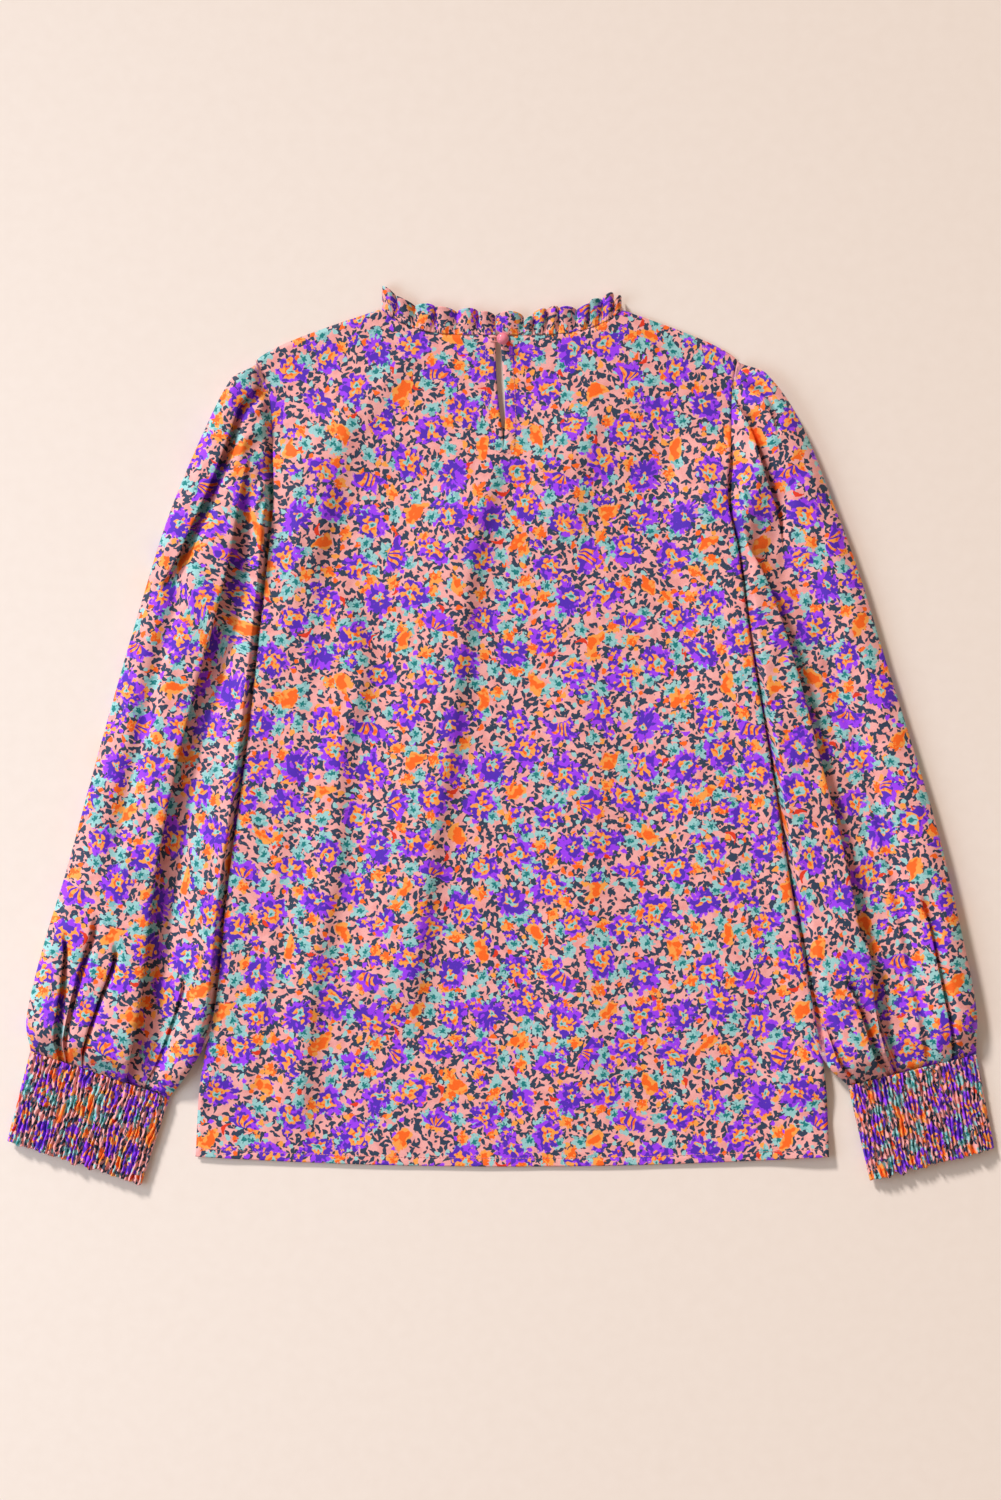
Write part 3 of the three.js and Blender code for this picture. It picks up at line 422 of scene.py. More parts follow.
class Print:
    """The flower print, drawn with nodes on the cloth's own coordinates in millimetres."""

    def __init__(self, tree, colours, repeat):
        self.tree = tree
        self.colours = colours
        self.repeat = repeat
        self.place = add_node(tree, "ShaderNodeUVMap", {"uv_map": "cloth"}).outputs[0]
        # The drawing wanders a little, so that no two flowers are alike
        wander = add_node(tree, "ShaderNodeTexNoise", {"noise_dimensions": "2D"}, {
            "Vector": self.place, "Scale": 1 / 11, "Detail": 0.0})
        shift = self.vector("SUBTRACT", wander.outputs[1], (0.5, 0.5, 0.5))
        shift = self.vector("MULTIPLY", shift, (7.5, 7.5, 0))
        self.drawn = self.vector("ADD", self.place, shift)

    def math(self, operation, a, b=0.0, c=0.0):
        return add_node(self.tree, "ShaderNodeMath", {"operation": operation}, {0: a, 1: b, 2: c}).outputs[0]

    def product(self, *shares):
        result = shares[0]
        for share in shares[1:]:
            result = self.math("MULTIPLY", result, share)
        return result

    def vector(self, operation, a, b=(0, 0, 0), c=(0, 0, 0)):
        node = add_node(self.tree, "ShaderNodeVectorMath", {"operation": operation}, {0: a, 1: b, 2: c})
        return node.outputs["Value" if operation == "LENGTH" else "Vector"]

    def grain(self, size, detail=0.0):
        """Noise of a given size, from 0 to 1, with a middle of 0.5."""
        node = add_node(self.tree, "ShaderNodeTexNoise", {"noise_dimensions": "2D"},
                        {"Vector": self.place, "Scale": 1 / size, "Detail": detail})
        return node.outputs[0]

    def step(self, value, edge, soft=0.04):
        """From 0 below an edge to 1 above it, or the other way round if the softness is negative."""
        node = add_node(self.tree, "ShaderNodeMapRange", {"interpolation_type": "SMOOTHSTEP"}, {
            0: value, 1: edge - abs(soft), 2: edge + abs(soft), 3: float(soft < 0), 4: float(soft > 0)})
        return node.outputs[0]

    def mix(self, share, under, over):
        node = add_node(self.tree, "ShaderNodeMix", {"data_type": "RGBA"}, {0: share})
        for socket, value in ((node.inputs[6], under), (node.inputs[7], over)):
            if isinstance(value, str):
                socket.default_value = linear(value)
            else:
                self.tree.links.new(value, socket)
        return node.outputs[2]

    def parts(self, vector):
        return add_node(self.tree, "ShaderNodeSeparateXYZ", {}, {0: vector}).outputs

    def nearest_flower(self):
        """The place measured from the nearest charted flower, with its kind and turn in thousandths as z."""
        wide, high = self.repeat
        nearest = None
        best = None
        for x, y, kind, turn in PRINT_FLOWERS:
            away = self.vector("SUBTRACT", self.drawn, (x, y, -(kind + turn) * MM))
            away = self.vector("WRAP", away, (wide / 2, high / 2, 1), (-wide / 2, -high / 2, -1))
            length = self.vector("LENGTH", away)
            if nearest is None:
                nearest, best = away, length
                continue
            closer = self.math("LESS_THAN", length, best)
            chosen = add_node(self.tree, "ShaderNodeMix", {"data_type": "VECTOR"},
                              {0: closer, 4: nearest, 5: away})
            nearest = chosen.outputs[1]
            best = self.math("MINIMUM", length, best)
        return nearest

    def scattered(self, size, seed):
        """The place measured from the nearest of many scattered points, with three random numbers."""
        moved = self.vector("ADD", self.place, (seed * 31.7, seed * 17.3, 0))
        node = add_node(self.tree, "ShaderNodeTexVoronoi", {"voronoi_dimensions": "2D"},
                        {"Vector": moved, "Scale": 1 / size, "Randomness": 0.8})
        return self.vector("SUBTRACT", moved, node.outputs["Position"]), self.parts(node.outputs["Color"])

    def turned(self, vector, share):
        node = add_node(self.tree, "ShaderNodeVectorRotate", {"rotation_type": "Z_AXIS"},
                        {"Vector": vector, "Angle": self.math("MULTIPLY", share, FULL_TURN)})
        return node.outputs[0]

    def petals(self, vector, count, depth, ragged, rough):
        """How far out a place is in a flower of round petals: 1 on its edge."""
        x, y, _ = self.parts(vector)
        angle = self.math("ARCTAN2", y, x)
        turns = self.math("MULTIPLY", angle, self.math("MULTIPLY", count, 0.5))
        wave = self.math("ABSOLUTE", self.math("COSINE", turns))
        edge = self.math("MULTIPLY_ADD", wave, depth, 1 - 0.64 * depth)
        edge = self.math("ADD", edge, self.math("MULTIPLY", self.math("SUBTRACT", rough, 0.5), ragged))
        return self.math("DIVIDE", self.vector("LENGTH", vector), edge)

    def leaves(self, under, size, seed, length, width, colour, share, rough):
        """Scattered pointed leaves, each turned its own way."""
        away, random = self.scattered(size, seed)
        x, y, _ = self.parts(self.turned(away, random[0]))
        bent = self.math("ADD", y, self.product(x, x, 0.11))
        grown = self.math("MULTIPLY_ADD", random[1], length * 0.7, length * 0.65)
        along = self.math("ABSOLUTE", self.math("DIVIDE", x, grown))
        across = self.math("DIVIDE", bent, width)
        passed = self.math("ADD", along, self.product(across, across))
        passed = self.math("MULTIPLY_ADD", rough, 0.8, passed)
        shown = self.product(self.step(passed, 1.38, -0.06), self.math("LESS_THAN", random[2], share))
        return self.mix(shown, under, colour)

    def blossoms(self, under, size, seed, radius, count, rough, tone, body, second, heart, share):
        """Small scattered blossoms in two tones with a darker heart."""
        away, random = self.scattered(size, seed)
        scaled = self.vector("MULTIPLY", self.turned(away, random[0]), (1 / radius, 1.35 / radius, 0))
        out = self.petals(scaled, count, 0.45, 0.85, rough)
        shown = self.product(self.step(out, 1.0, -0.06), self.math("LESS_THAN", random[2], share))
        under = self.mix(shown, under, body)
        upper = self.math("MULTIPLY_ADD", self.parts(scaled)[1], 0.2, tone)
        toned = self.product(shown, self.step(upper, 0.56, 0.03))
        under = self.mix(toned, under, second)
        off_middle = self.vector("SUBTRACT", scaled, (0.15, 0.1, 0))
        middle = self.petals(self.vector("MULTIPLY", off_middle, (2.6, 2.6, 0)), 5.0, 0.6, 1.6, rough)
        return self.mix(self.product(self.step(middle, 1.0, -0.12), shown), under, heart)

    def flowers(self, under):
        """The large charted flowers."""
        colours = self.colours
        nearest = self.nearest_flower()
        code = self.math("MULTIPLY", self.parts(nearest)[2], 1 / MM)
        kind = self.math("FLOOR", code)
        turn = self.math("FRACT", code)
        broad, daisy, bloom, tulip = (self.math("COMPARE", kind, float(number), 0.5) for number in range(4))
        rough = self.grain(2.3, 1.0)
        tone = self.grain(6.0, 1.0)
        fine = self.grain(3.0, 0.0)
        grown = self.math("MULTIPLY_ADD", self.math("FRACT", self.math("MULTIPLY", turn, 7.3)), 0.020, 0.080)
        flower = add_node(self.tree, "ShaderNodeVectorMath", {"operation": "SCALE"},
                          {0: self.turned(nearest, turn), "Scale": grown}).outputs[0]
        flower = self.vector("MULTIPLY", flower, (0.95, 1.15, 0))
        x, y, _ = self.parts(flower)
        # The daisy has many petals and the bloom few
        count = self.math("MULTIPLY_ADD", daisy, 5.0, self.math("MULTIPLY", bloom, -3.0))
        count = self.math("ADD", 8.0, count)
        out = self.petals(flower, count, 0.32, 0.5, rough)
        # The bloom is smaller and flatter, and the tulip is seen from its side
        flat = self.product(bloom, self.math("ABSOLUTE", y), 0.7)
        out = self.math("ADD", self.math("MULTIPLY", out, self.math("MULTIPLY_ADD", bloom, 0.15, 1.0)), flat)
        low = self.math("MAXIMUM", self.math("SUBTRACT", -0.15, y), 0.0)
        out = self.math("ADD", out, self.product(low, tulip, 3.0))
        shown = self.step(out, 1.0, -0.06)
        # Most petals are dark with a bright rim, and the upper ones bright all over
        lit = self.math("MULTIPLY_ADD", y, 0.1, self.math("SUBTRACT", tone, 0.035))
        lit = self.math("MULTIPLY_ADD", self.math("SUBTRACT", out, 0.72), 0.4, lit)
        violet = self.mix(self.step(lit, 0.5, 0.03), colours["violet_dark"], colours["violet_bright"])
        orange = self.mix(self.step(lit, 0.46, 0.07), colours["orange_deep"], colours["orange_light"])
        under = self.mix(shown, under, self.mix(bloom, violet, orange))
        # The heart lies off the middle: a few uneven petals, or five fingers on the tulip
        off_middle = self.vector("SUBTRACT", flower, (0.12, -0.14, 0))
        heart = self.petals(self.vector("MULTIPLY", off_middle, (2.0, 1.7, 0)), 4.0, 0.65, 1.5, fine)
        fan = self.vector("SUBTRACT", flower, (0.0, -0.8, 0))
        fan_x, fan_y, _ = self.parts(fan)
        fan_angle = self.math("ARCTAN2", fan_x, fan_y)
        fingers = self.step(self.math("COSINE", self.math("MULTIPLY", fan_angle, 19.0)), -0.3, 0.2)
        reached = self.math("MULTIPLY_ADD", fine, 0.5, self.vector("LENGTH", fan))
        reach = self.product(self.step(reached, 1.6, -0.05), self.step(reached, 0.8, 0.1))
        fan_wide = self.step(self.math("ABSOLUTE", fan_angle), 0.42, -0.03)
        heart = self.math("MULTIPLY_ADD", daisy, 0.35, heart)
        round_heart = self.product(self.step(heart, 1.0, -0.08), self.math("ADD", broad, daisy))
        in_heart = self.math("MAXIMUM", round_heart, self.product(fingers, reach, fan_wide, tulip))
        heart_tone = self.mix(self.step(fine, 0.45, 0.04), colours["orange_deep"], colours["orange_light"])
        under = self.mix(self.product(in_heart, shown), under, heart_tone)
        # An aqua eye with a teal spot
        eye = self.petals(self.vector("MULTIPLY", off_middle, (4.2, 4.2, 0)), 5.0, 0.5, 1.4, fine)
        eyed = self.product(self.math("SUBTRACT", 1.0, tulip), self.math("SUBTRACT", 1.0, bloom), shown)
        under = self.mix(self.product(self.step(eye, 1.0, -0.1), eyed), under, colours["aqua"])
        return self.mix(self.product(self.step(eye, 0.42, -0.12), eyed), under, colours["teal"])

    def colour(self):
        """The whole print, from the ground up to the large flowers."""
        colours = self.colours
        rough = self.grain(1.9, 0.0)
        tone = self.grain(3.4, 1.0)
        out = self.mix(self.step(self.grain(9.0, 1.0), 0.55, 0.2), colours["ground"], colours["ground_deep"])
        for number, (size, length, width) in enumerate(((7.0, 3.4, 1.5), (8.0, 4.0, 1.5), (9.2, 2.9, 2.1),
                                                        (6.0, 1.6, 1.0))):
            out = self.leaves(out, size, number + 1.0, length, width, colours["leaf"], 0.72, rough)
        for number, (size, length, width, key, share) in enumerate((
                (11.0, 2.5, 1.9, "violet_bright", 0.25), (12.0, 2.6, 2.0, "orange_deep", 0.28),
                (10.0, 2.5, 1.9, "aqua", 0.45), (15.0, 2.8, 2.2, "orange_light", 0.35),
                (38.0, 5.0, 1.8, "red", 0.5))):
            out = self.leaves(out, size, number + 6.0, length, width, colours[key], share, rough)
        out = self.blossoms(out, 17.0, 4.0, 6.2, 5.0, rough, tone, colours["aqua"], colours["aqua_deep"],
                            colours["teal"], 0.55)
        out = self.blossoms(out, 23.0, 5.0, 5.4, 4.0, rough, tone, colours["orange_light"],
                            colours["orange_deep"], colours["orange_deep"], 0.5)
        out = self.blossoms(out, 21.0, 12.0, 5.0, 4.0, rough, tone, colours["violet_dark"],
                            colours["violet_bright"], colours["orange_light"], 0.25)
        return self.flowers(out)


def printed_crepe(name, settings, weave_size, weave_depth, faded):
    """Printed polyester crepe: a flat weave of twisted yarn, dyed on its face, with a soft low sheen.

    The yarns lie 0.3 mm apart, too fine for the render, so the weave is drawn three times as coarse.
    """
    material, tree = new_material(name)
    colours = {key: getattr(settings, key) for key in PRINT_COLOURS}
    drawing = Print(tree, colours, (settings.repeat_wide / MM, settings.repeat_high / MM))
    colour = drawing.colour()
    if faded:
        # The wrong side shows the dye paler, as it hasn't gone right through the cloth
        colour = drawing.mix(faded, colour, colours["ground"])
    weave = add_node(tree, "ShaderNodeTexNoise", {"noise_dimensions": "2D"},
                     {"Vector": drawing.place, "Scale": 1 / weave_size, "Detail": 2.0})
    # The weave's hollows are painted darker and its tops lighter, from the bump's noise: painted shade and light
    shade = add_node(tree, "ShaderNodeMapRange", {}, {0: weave.outputs[0], 1: 0.3, 2: 0.7, 3: 0.93, 4: 1.05})
    shaded = drawing.vector("SCALE", colour)
    tree.links.new(shade.outputs[0], shaded.node.inputs["Scale"])
    bump = add_node(tree, "ShaderNodeBump", {}, {"Strength": 0.35, "Distance": weave_depth * MM,
                                                 "Height": weave.outputs[0]})
    shader = add_node(tree, "ShaderNodeBsdfPrincipled", {}, {
        "Base Color": shaded, "Roughness": settings.cloth_roughness, "IOR": 1.5, "Specular IOR Level": 0.3,
        "Sheen Weight": settings.cloth_sheen, "Sheen Roughness": 0.4, "Normal": bump.outputs[0]})
    add_node(tree, "ShaderNodeOutputMaterial", {}, {"Surface": shader.outputs[0]})
    return material


def sewing_thread(settings):
    """Spun polyester sewing thread: two twisted plies, with a soft shine and painted shade between them."""
    material, tree = new_material("spun polyester thread")
    place = add_node(tree, "ShaderNodeTexCoord")
    twist = add_node(tree, "ShaderNodeTexWave", {}, {"Vector": place.outputs["Object"], "Scale": 600.0,
                                                     "Distortion": 3.0, "Detail": 1.0})
    # The thread is painted darker where the twist is low, in the grooves between the plies: painted shade
    colour = add_node(tree, "ShaderNodeMix", {"data_type": "RGBA"}, {
        0: twist.outputs[1], 6: linear(settings.thread_groove_shade), 7: linear(settings.thread)})
    bump = add_node(tree, "ShaderNodeBump", {}, {"Strength": 0.4, "Distance": 0.1 * MM,
                                                 "Height": twist.outputs[1]})
    shader = add_node(tree, "ShaderNodeBsdfPrincipled", {}, {
        "Base Color": colour.outputs[2], "Roughness": 0.5, "IOR": 1.5, "Sheen Weight": 0.2,
        "Normal": bump.outputs[0]})
    add_node(tree, "ShaderNodeOutputMaterial", {}, {"Surface": shader.outputs[0]})
    return material


def cast_resin(settings):
    """Cast polyester resin, tumbled to a gloss: clear depth, faint clouds in the dye and fine scratches."""
    material, tree = new_material("tumbled polyester resin")
    place = add_node(tree, "ShaderNodeTexCoord")
    cloud = add_node(tree, "ShaderNodeTexNoise", {}, {"Vector": place.outputs["Object"], "Scale": 260.0,
                                                      "Detail": 2.0})
    colour = add_node(tree, "ShaderNodeMix", {"data_type": "RGBA"}, {
        0: cloud.outputs[0], 6: linear(settings.button_deep), 7: linear(settings.button)})
    worn = add_node(tree, "ShaderNodeTexNoise", {}, {"Vector": place.outputs["Object"], "Scale": 1500.0,
                                                     "Detail": 3.0})
    rough = add_node(tree, "ShaderNodeMapRange", {}, {0: worn.outputs[0], 1: 0.3, 2: 0.7, 3: 0.12, 4: 0.26})
    bump = add_node(tree, "ShaderNodeBump", {}, {"Strength": 0.05, "Distance": 0.05 * MM,
                                                 "Height": worn.outputs[0]})
    shader = add_node(tree, "ShaderNodeBsdfPrincipled", {}, {
        "Base Color": colour.outputs[2], "Roughness": rough.outputs[0], "IOR": 1.55,
        "Subsurface Weight": 0.15, "Subsurface Scale": 0.002, "Coat Weight": 0.4, "Coat Roughness": 0.05,
        "Normal": bump.outputs[0]})
    add_node(tree, "ShaderNodeOutputMaterial", {}, {"Surface": shader.outputs[0]})
    return material


def pale_plaster(settings):
    """Smooth painted board: matt, with a faint uneven tone."""
    material, tree = new_material("pale painted board")
    place = add_node(tree, "ShaderNodeTexCoord")
    mottle = add_node(tree, "ShaderNodeTexNoise", {}, {"Vector": place.outputs["Object"], "Scale": 90.0,
                                                       "Detail": 4.0})
    colour = add_node(tree, "ShaderNodeMix", {"data_type": "RGBA"}, {
        0: mottle.outputs[0], 6: linear(settings.floor_deep), 7: linear(settings.floor)})
    shader = add_node(tree, "ShaderNodeBsdfPrincipled", {}, {
        "Base Color": colour.outputs[2], "Roughness": 0.85, "Specular IOR Level": 0.2})
    add_node(tree, "ShaderNodeOutputMaterial", {}, {"Surface": shader.outputs[0]})
    return material


def material_named(name, make, *details):
    """The material of that name, made once and shared by the pieces."""
    return bpy.data.materials.get(name) or make(*details)


def crepe(settings):
    sides = (("printed crepe", 0.0), ("printed crepe wrong side", 0.55))
    return [material_named(name, printed_crepe, name, settings, 0.9, 0.25, faded) for name, faded in sides]


def smocked_crepe(settings):
    face = material_named("smocked crepe", printed_crepe, "smocked crepe", settings, 1.3, 0.5, 0.0)
    return [face, crepe(settings)[1]]


# The body

def panel_rows(hem_rows, rows):
    """Shares of the way up a panel: close rows at the hem, and even ones above."""
    hem_share = 10 / (SHOULDER["y"] - HEM["corner"])
    close = [hem_share * j / hem_rows for j in range(hem_rows)]
    return close + [lerp(hem_share, 1, j / rows) for j in range(rows + 1)]


def hem_relief(x, above_hem):
    """The turned hem is a little thicker up to its stitches, which draw the cloth in."""
    turned = 0.4 * smooth((HEM_STITCH + 1 - above_hem) / 1.4)
    drawn = -0.35 * math.exp(-(((above_hem - HEM_STITCH) / 0.9) ** 2))
    pucker = 0.3 * wobble(x, 0, 4.5, 2.0) * math.exp(-(((above_hem - HEM_STITCH) / 3.2) ** 2))
    return turned + drawn + pucker


def slit_relief(x, y):
    """The facing behind the slit thickens its edges up to the row of stitches."""
    if y < SLIT[0]["y"] - 2 * SLIT_STITCH["below"]:
        return 0.0
    at = clamp(y, SLIT[0]["y"], SLIT[-1]["y"])
    off = max(column(SLIT, "y", at, "left") - x, x - column(SLIT, "y", at, "right"), 0.0)
    off = math.hypot(off, max(SLIT[0]["y"] - y, 0.0))
    thick = 0.45 * smooth((SLIT_STITCH["off"] + 0.8 - off) / 1.2)
    drawn = -0.35 * math.exp(-(((off - SLIT_STITCH["off"]) / 0.8) ** 2))
    pucker = 0.22 * wobble(x, y, 4.0, 5.0) * math.exp(-(((off - SLIT_STITCH["off"]) / 2.5) ** 2))
    return thick + drawn + pucker


def back_surface(x, y, hem_y):
    return back_height(x, y) + WALL / 2 + hem_relief(x, y - hem_y) + slit_relief(x, y)


def back_half(half, columns):
    """Half of the back, from its side to the slit and, below the slit, to the middle."""
    rows = []
    start, end = (0.0, None) if half == "left" else (None, 1.0)
    for v in panel_rows(10, 196):
        middle_y = panel_place(0.5, v)[1]
        slit_x = column(SLIT, "y", clamp(middle_y, SLIT[0]["y"], SLIT[-1]["y"]), half)
        left, right = panel_place(0, v)[0], panel_place(1, v)[0]
        slit_u = (slit_x - left) / (right - left)
        row = []
        for i in range(columns + 1):
            u = lerp(0.0 if start is not None else slit_u, 1.0 if end is not None else slit_u, i / columns)
            x, y = panel_place(u, v)
            hem_y = panel_place(u, 0)[1]
            row.append((x, y, back_surface(x, y, hem_y), x, y))
        rows.append(row)
    return rows


def make_back(settings):
    """The back panel in two halves, joined below the slit."""
    columns = 80
    left = back_half("left", columns)
    right = back_half("right", columns)
    points = []
    faces = []
    corners = []
    number = {}

    def point(place):
        key = tuple(round(value, 4) for value in place[:3])
        if key not in number:
            number[key] = len(points)
            points.append(tuple(place[:3]))
        return number[key]

    for rows in (left, right):
        for j in range(len(rows) - 1):
            for i in range(columns):
                quad = [rows[j][i], rows[j][i + 1], rows[j + 1][i + 1], rows[j + 1][i]]
                faces.append([point(place) for place in quad])
                corners += [place[3:] for place in quad]
    return new_piece("back_panel", points, faces, corners, crepe(settings), settings.cloth_thickness)


def make_front(settings):
    """The front panel below the back, with its own lower neckline."""
    rows = []
    for v in panel_rows(6, 92):
        row = []
        for i in range(73):
            x, y = panel_place(i / 72, v, FRONT_NECK["lowest"], FRONT_NECK["power"])
            z = over_sleeve(x, y) + corner_lift(x, y) + edge_ridge(x, y)
            z += settings.cloth_thickness / MM + 0.05
            row.append((x, y, z, x + 61, y + 33))
        rows.append(row)
    return sheet_piece("front_panel", rows, crepe(settings), settings.cloth_thickness)


# The sleeves

def pleat_at(pleat, across, along):
    """How far a place lies past a pleat's valley, and how deep the pleat is there."""
    if not pleat["from"] <= along <= pleat["to"]:
        return 0.0, 0.0
    t = (along - pleat["from"]) / (pleat["to"] - pleat["from"])
    fade_in = 1.0 if pleat["from"] == 0 else smooth(t / PLEAT_FADE)
    fade_out = 1.0 if pleat["to"] == 1 else smooth((1 - t) / PLEAT_FADE)
    return across - five_steps(pleat["at"], t), pleat["deep"] * fade_in * fade_out


def pleat_share(pleat, across, along):
    """The share of the height that a pleat's valley leaves."""
    off, deep = pleat_at(pleat, across, along)
    return 1 - deep * math.exp(-((off / (pleat["before"] if off < 0 else pleat["after"])) ** 2))


def pleat_roll(pleat, across, along):
    """How far the steep edge of a pleat rolls over its valley, towards the inner edge if positive."""
    off, deep = pleat_at(pleat, across, along)
    steep_before = pleat["before"] < pleat["after"]
    half = max(2 * min(pleat["before"], pleat["after"]), PLEAT_ROLL["least"])
    from_crest = off + half if steep_before else off - half
    roll = PLEAT_ROLL["over"] * deep * math.exp(-((from_crest / (PLEAT_ROLL["narrow"] * half)) ** 2))
    return roll if steep_before else -roll


def along_grain(sleeve, x, y):
    """A place on the cloth's own coordinates, whose grain runs down the sleeve."""
    down_x, down_y = sleeve["down"]
    return (-down_y * x + down_x * y + sleeve["grain"][0], -down_x * x - down_y * y + sleeve["grain"][1])


def cloth_place(sleeve, x, y, toward_inner, taken_up):
    """The cloth's own coordinates of a place, moved on by the cloth that the folds before it take up."""
    return along_grain(sleeve, x + toward_inner[0] * taken_up, y + toward_inner[1] * taken_up)


def sleeve_place(sleeve, across, along):
    rows = sleeve["rows"]
    x, y = (lerp(column(rows, "along", along, axis + "o"), column(rows, "along", along, axis + "i"), across)
            for axis in "xy")
    start = rows[0]
    seam_share = (ARMHOLE["end"] - start["yo"]) / (start["yi"] - start["yo"])
    away = -SEAM_GAP if sleeve["side"] == "left" else SEAM_GAP
    past_seam = smooth((across - seam_share) / (1 - seam_share))
    first = lerp(side(sleeve["side"], y) + away, start["xi"], past_seam)
    return lerp(x, first, smooth(1 - along / ARMHOLE["run"])), y


def sleeve_fullness(sleeve, across, along, x, y):
    """How much the sleeve stands up, from 0 where it is pressed flat to about 1."""
    full = column(sleeve["rows"], "along", along, "puff")
    for pleat in sleeve["pleats"]:
        full *= pleat_share(pleat, across, along)
    near_head = math.exp(-along / 0.05)
    gathers = 0.5 + 0.5 * math.cos(FULL_TURN * (9 * across + 0.6 * wobble(across, along, 0.2, 4.0)))
    full *= 1 - 0.5 * near_head * gathers
    clear = 22.0 if y < HEM["corner"] else -inside_body(x, y)
    full += 0.07 * wobble(across * 150, along * 560, 22, sleeve["seed"])
    return max(full, 0.0) * smooth((clear - 0.5) / 6)


def near_cuff(along):
    return smooth((along - 0.955) / 0.045)


def rim_share(across, power):
    """From 0 on a tube's two edges to 1 on its flat."""
    return max(1 - abs(2 * across - 1) ** power, 0.0) ** 0.5


def rounded_edge(across, wide, along):
    """How far the outer edge, and the free part of the inner one, stand clear of what they lie on."""
    free = smooth((along - ROUND_EDGE["free_from"]) / 0.07)
    outer = lerp(ROUND_EDGE["high"], ROUND_EDGE["at_cuff"], near_cuff(along))
    inner = lerp(ROUND_EDGE["high"] * free, ROUND_EDGE["at_cuff"], near_cuff(along))
    return (outer * math.exp(-across * wide / ROUND_EDGE["run"])
            + inner * math.exp(-(1 - across) * wide / ROUND_EDGE["run"]))


def sleeve_rows(sleeve, settings):
    """Rings from the armhole to the cuff: over the top to the inner edge, and back below."""
    top, under, steps = 150, 34, 168
    rows = []
    for j in range(steps + 1):
        along = j / steps
        row = []
        start = sleeve_place(sleeve, 0, along)
        end = sleeve_place(sleeve, 1, along)
        wide = math.dist(start, end)
        toward_inner = ((end[0] - start[0]) / wide, (end[1] - start[1]) / wide)
        # How much longer the cloth is than its plan, from the outer edge up to the place. At both ends the
        # gathers hold the cloth's threads together, and nothing is taken up.
        ungathered = smooth((along - 0.15) / 0.35) * (1 - smooth((along - 0.55) / 0.3))
        taken_up = 0.0
        for i in range(top + 1):
            across = lerp(i / top, 0.5 - 0.5 * math.cos(math.pi * i / top), 0.5)
            x, y = sleeve_place(sleeve, across, along)
            full = sleeve_fullness(sleeve, across, along, x, y)
            rim = rim_share(across, 9)
            z = 1.0 + rim * (1.3 + settings.sleeve_puff / MM * full * (1 - 0.62 * near_cuff(along) ** 3))
            z += (1 - rim) * rounded_edge(across, wide, along)
            # The gathered cloth bulges over the cuff between its folds
            over = 5.0 * math.sin(math.pi * clamp((along - 0.93) / 0.07)) * rim * clamp(full)
            roll = sum(pleat_roll(pleat, across, along) for pleat in sleeve["pleats"]) * rim / wide
            x += sleeve["down"][0] * over + (end[0] - start[0]) * roll
            y += sleeve["down"][1] * over + (end[1] - start[1]) * roll
            if row:
                plan = (x - row[-1][0]) * toward_inner[0] + (y - row[-1][1]) * toward_inner[1]
                taken_up += (math.dist((x, y, z), row[-1][:3]) - plan) * ungathered
            row.append((x, y, z, *cloth_place(sleeve, x, y, toward_inner, taken_up)))
        turned_at = along_grain(sleeve, *end)[0]
        end_x, end_y = cloth_place(sleeve, *end, toward_inner, taken_up)
        for i in range(1, under + 1):
            across = 1 - i / under
            x, y = sleeve_place(sleeve, across, along)
            rim = rim_share(across, 9)
            cloth_x, cloth_y = along_grain(sleeve, x, y)
            z = 1.0 - 0.55 * rim + rounded_edge(across, wide, along)
            row.append((x, y, z, end_x + turned_at - cloth_x, cloth_y + end_y - along_grain(sleeve, *end)[1]))
        rows.append(row)
    return rows


def make_sleeve(sleeve, settings):
    return sheet_piece(sleeve["side"] + "_sleeve", sleeve_rows(sleeve, settings), crepe(settings),
                       settings.cloth_thickness, closed=True, facing=sleeve["facing"])


SLEEVES = {
    "left": {"side": "left", "rows": SLEEVE_LEFT, "pleats": PLEATS_LEFT, "seed": 11.0,
             "down": (-0.25, -0.97), "facing": "down", "grain": (37, 11)},
    "right": {"side": "right", "rows": SLEEVE_RIGHT, "pleats": PLEATS_RIGHT, "seed": 23.0,
              "down": (0.22, -0.975), "facing": "up", "grain": (83, 51)},
}


# The cuffs

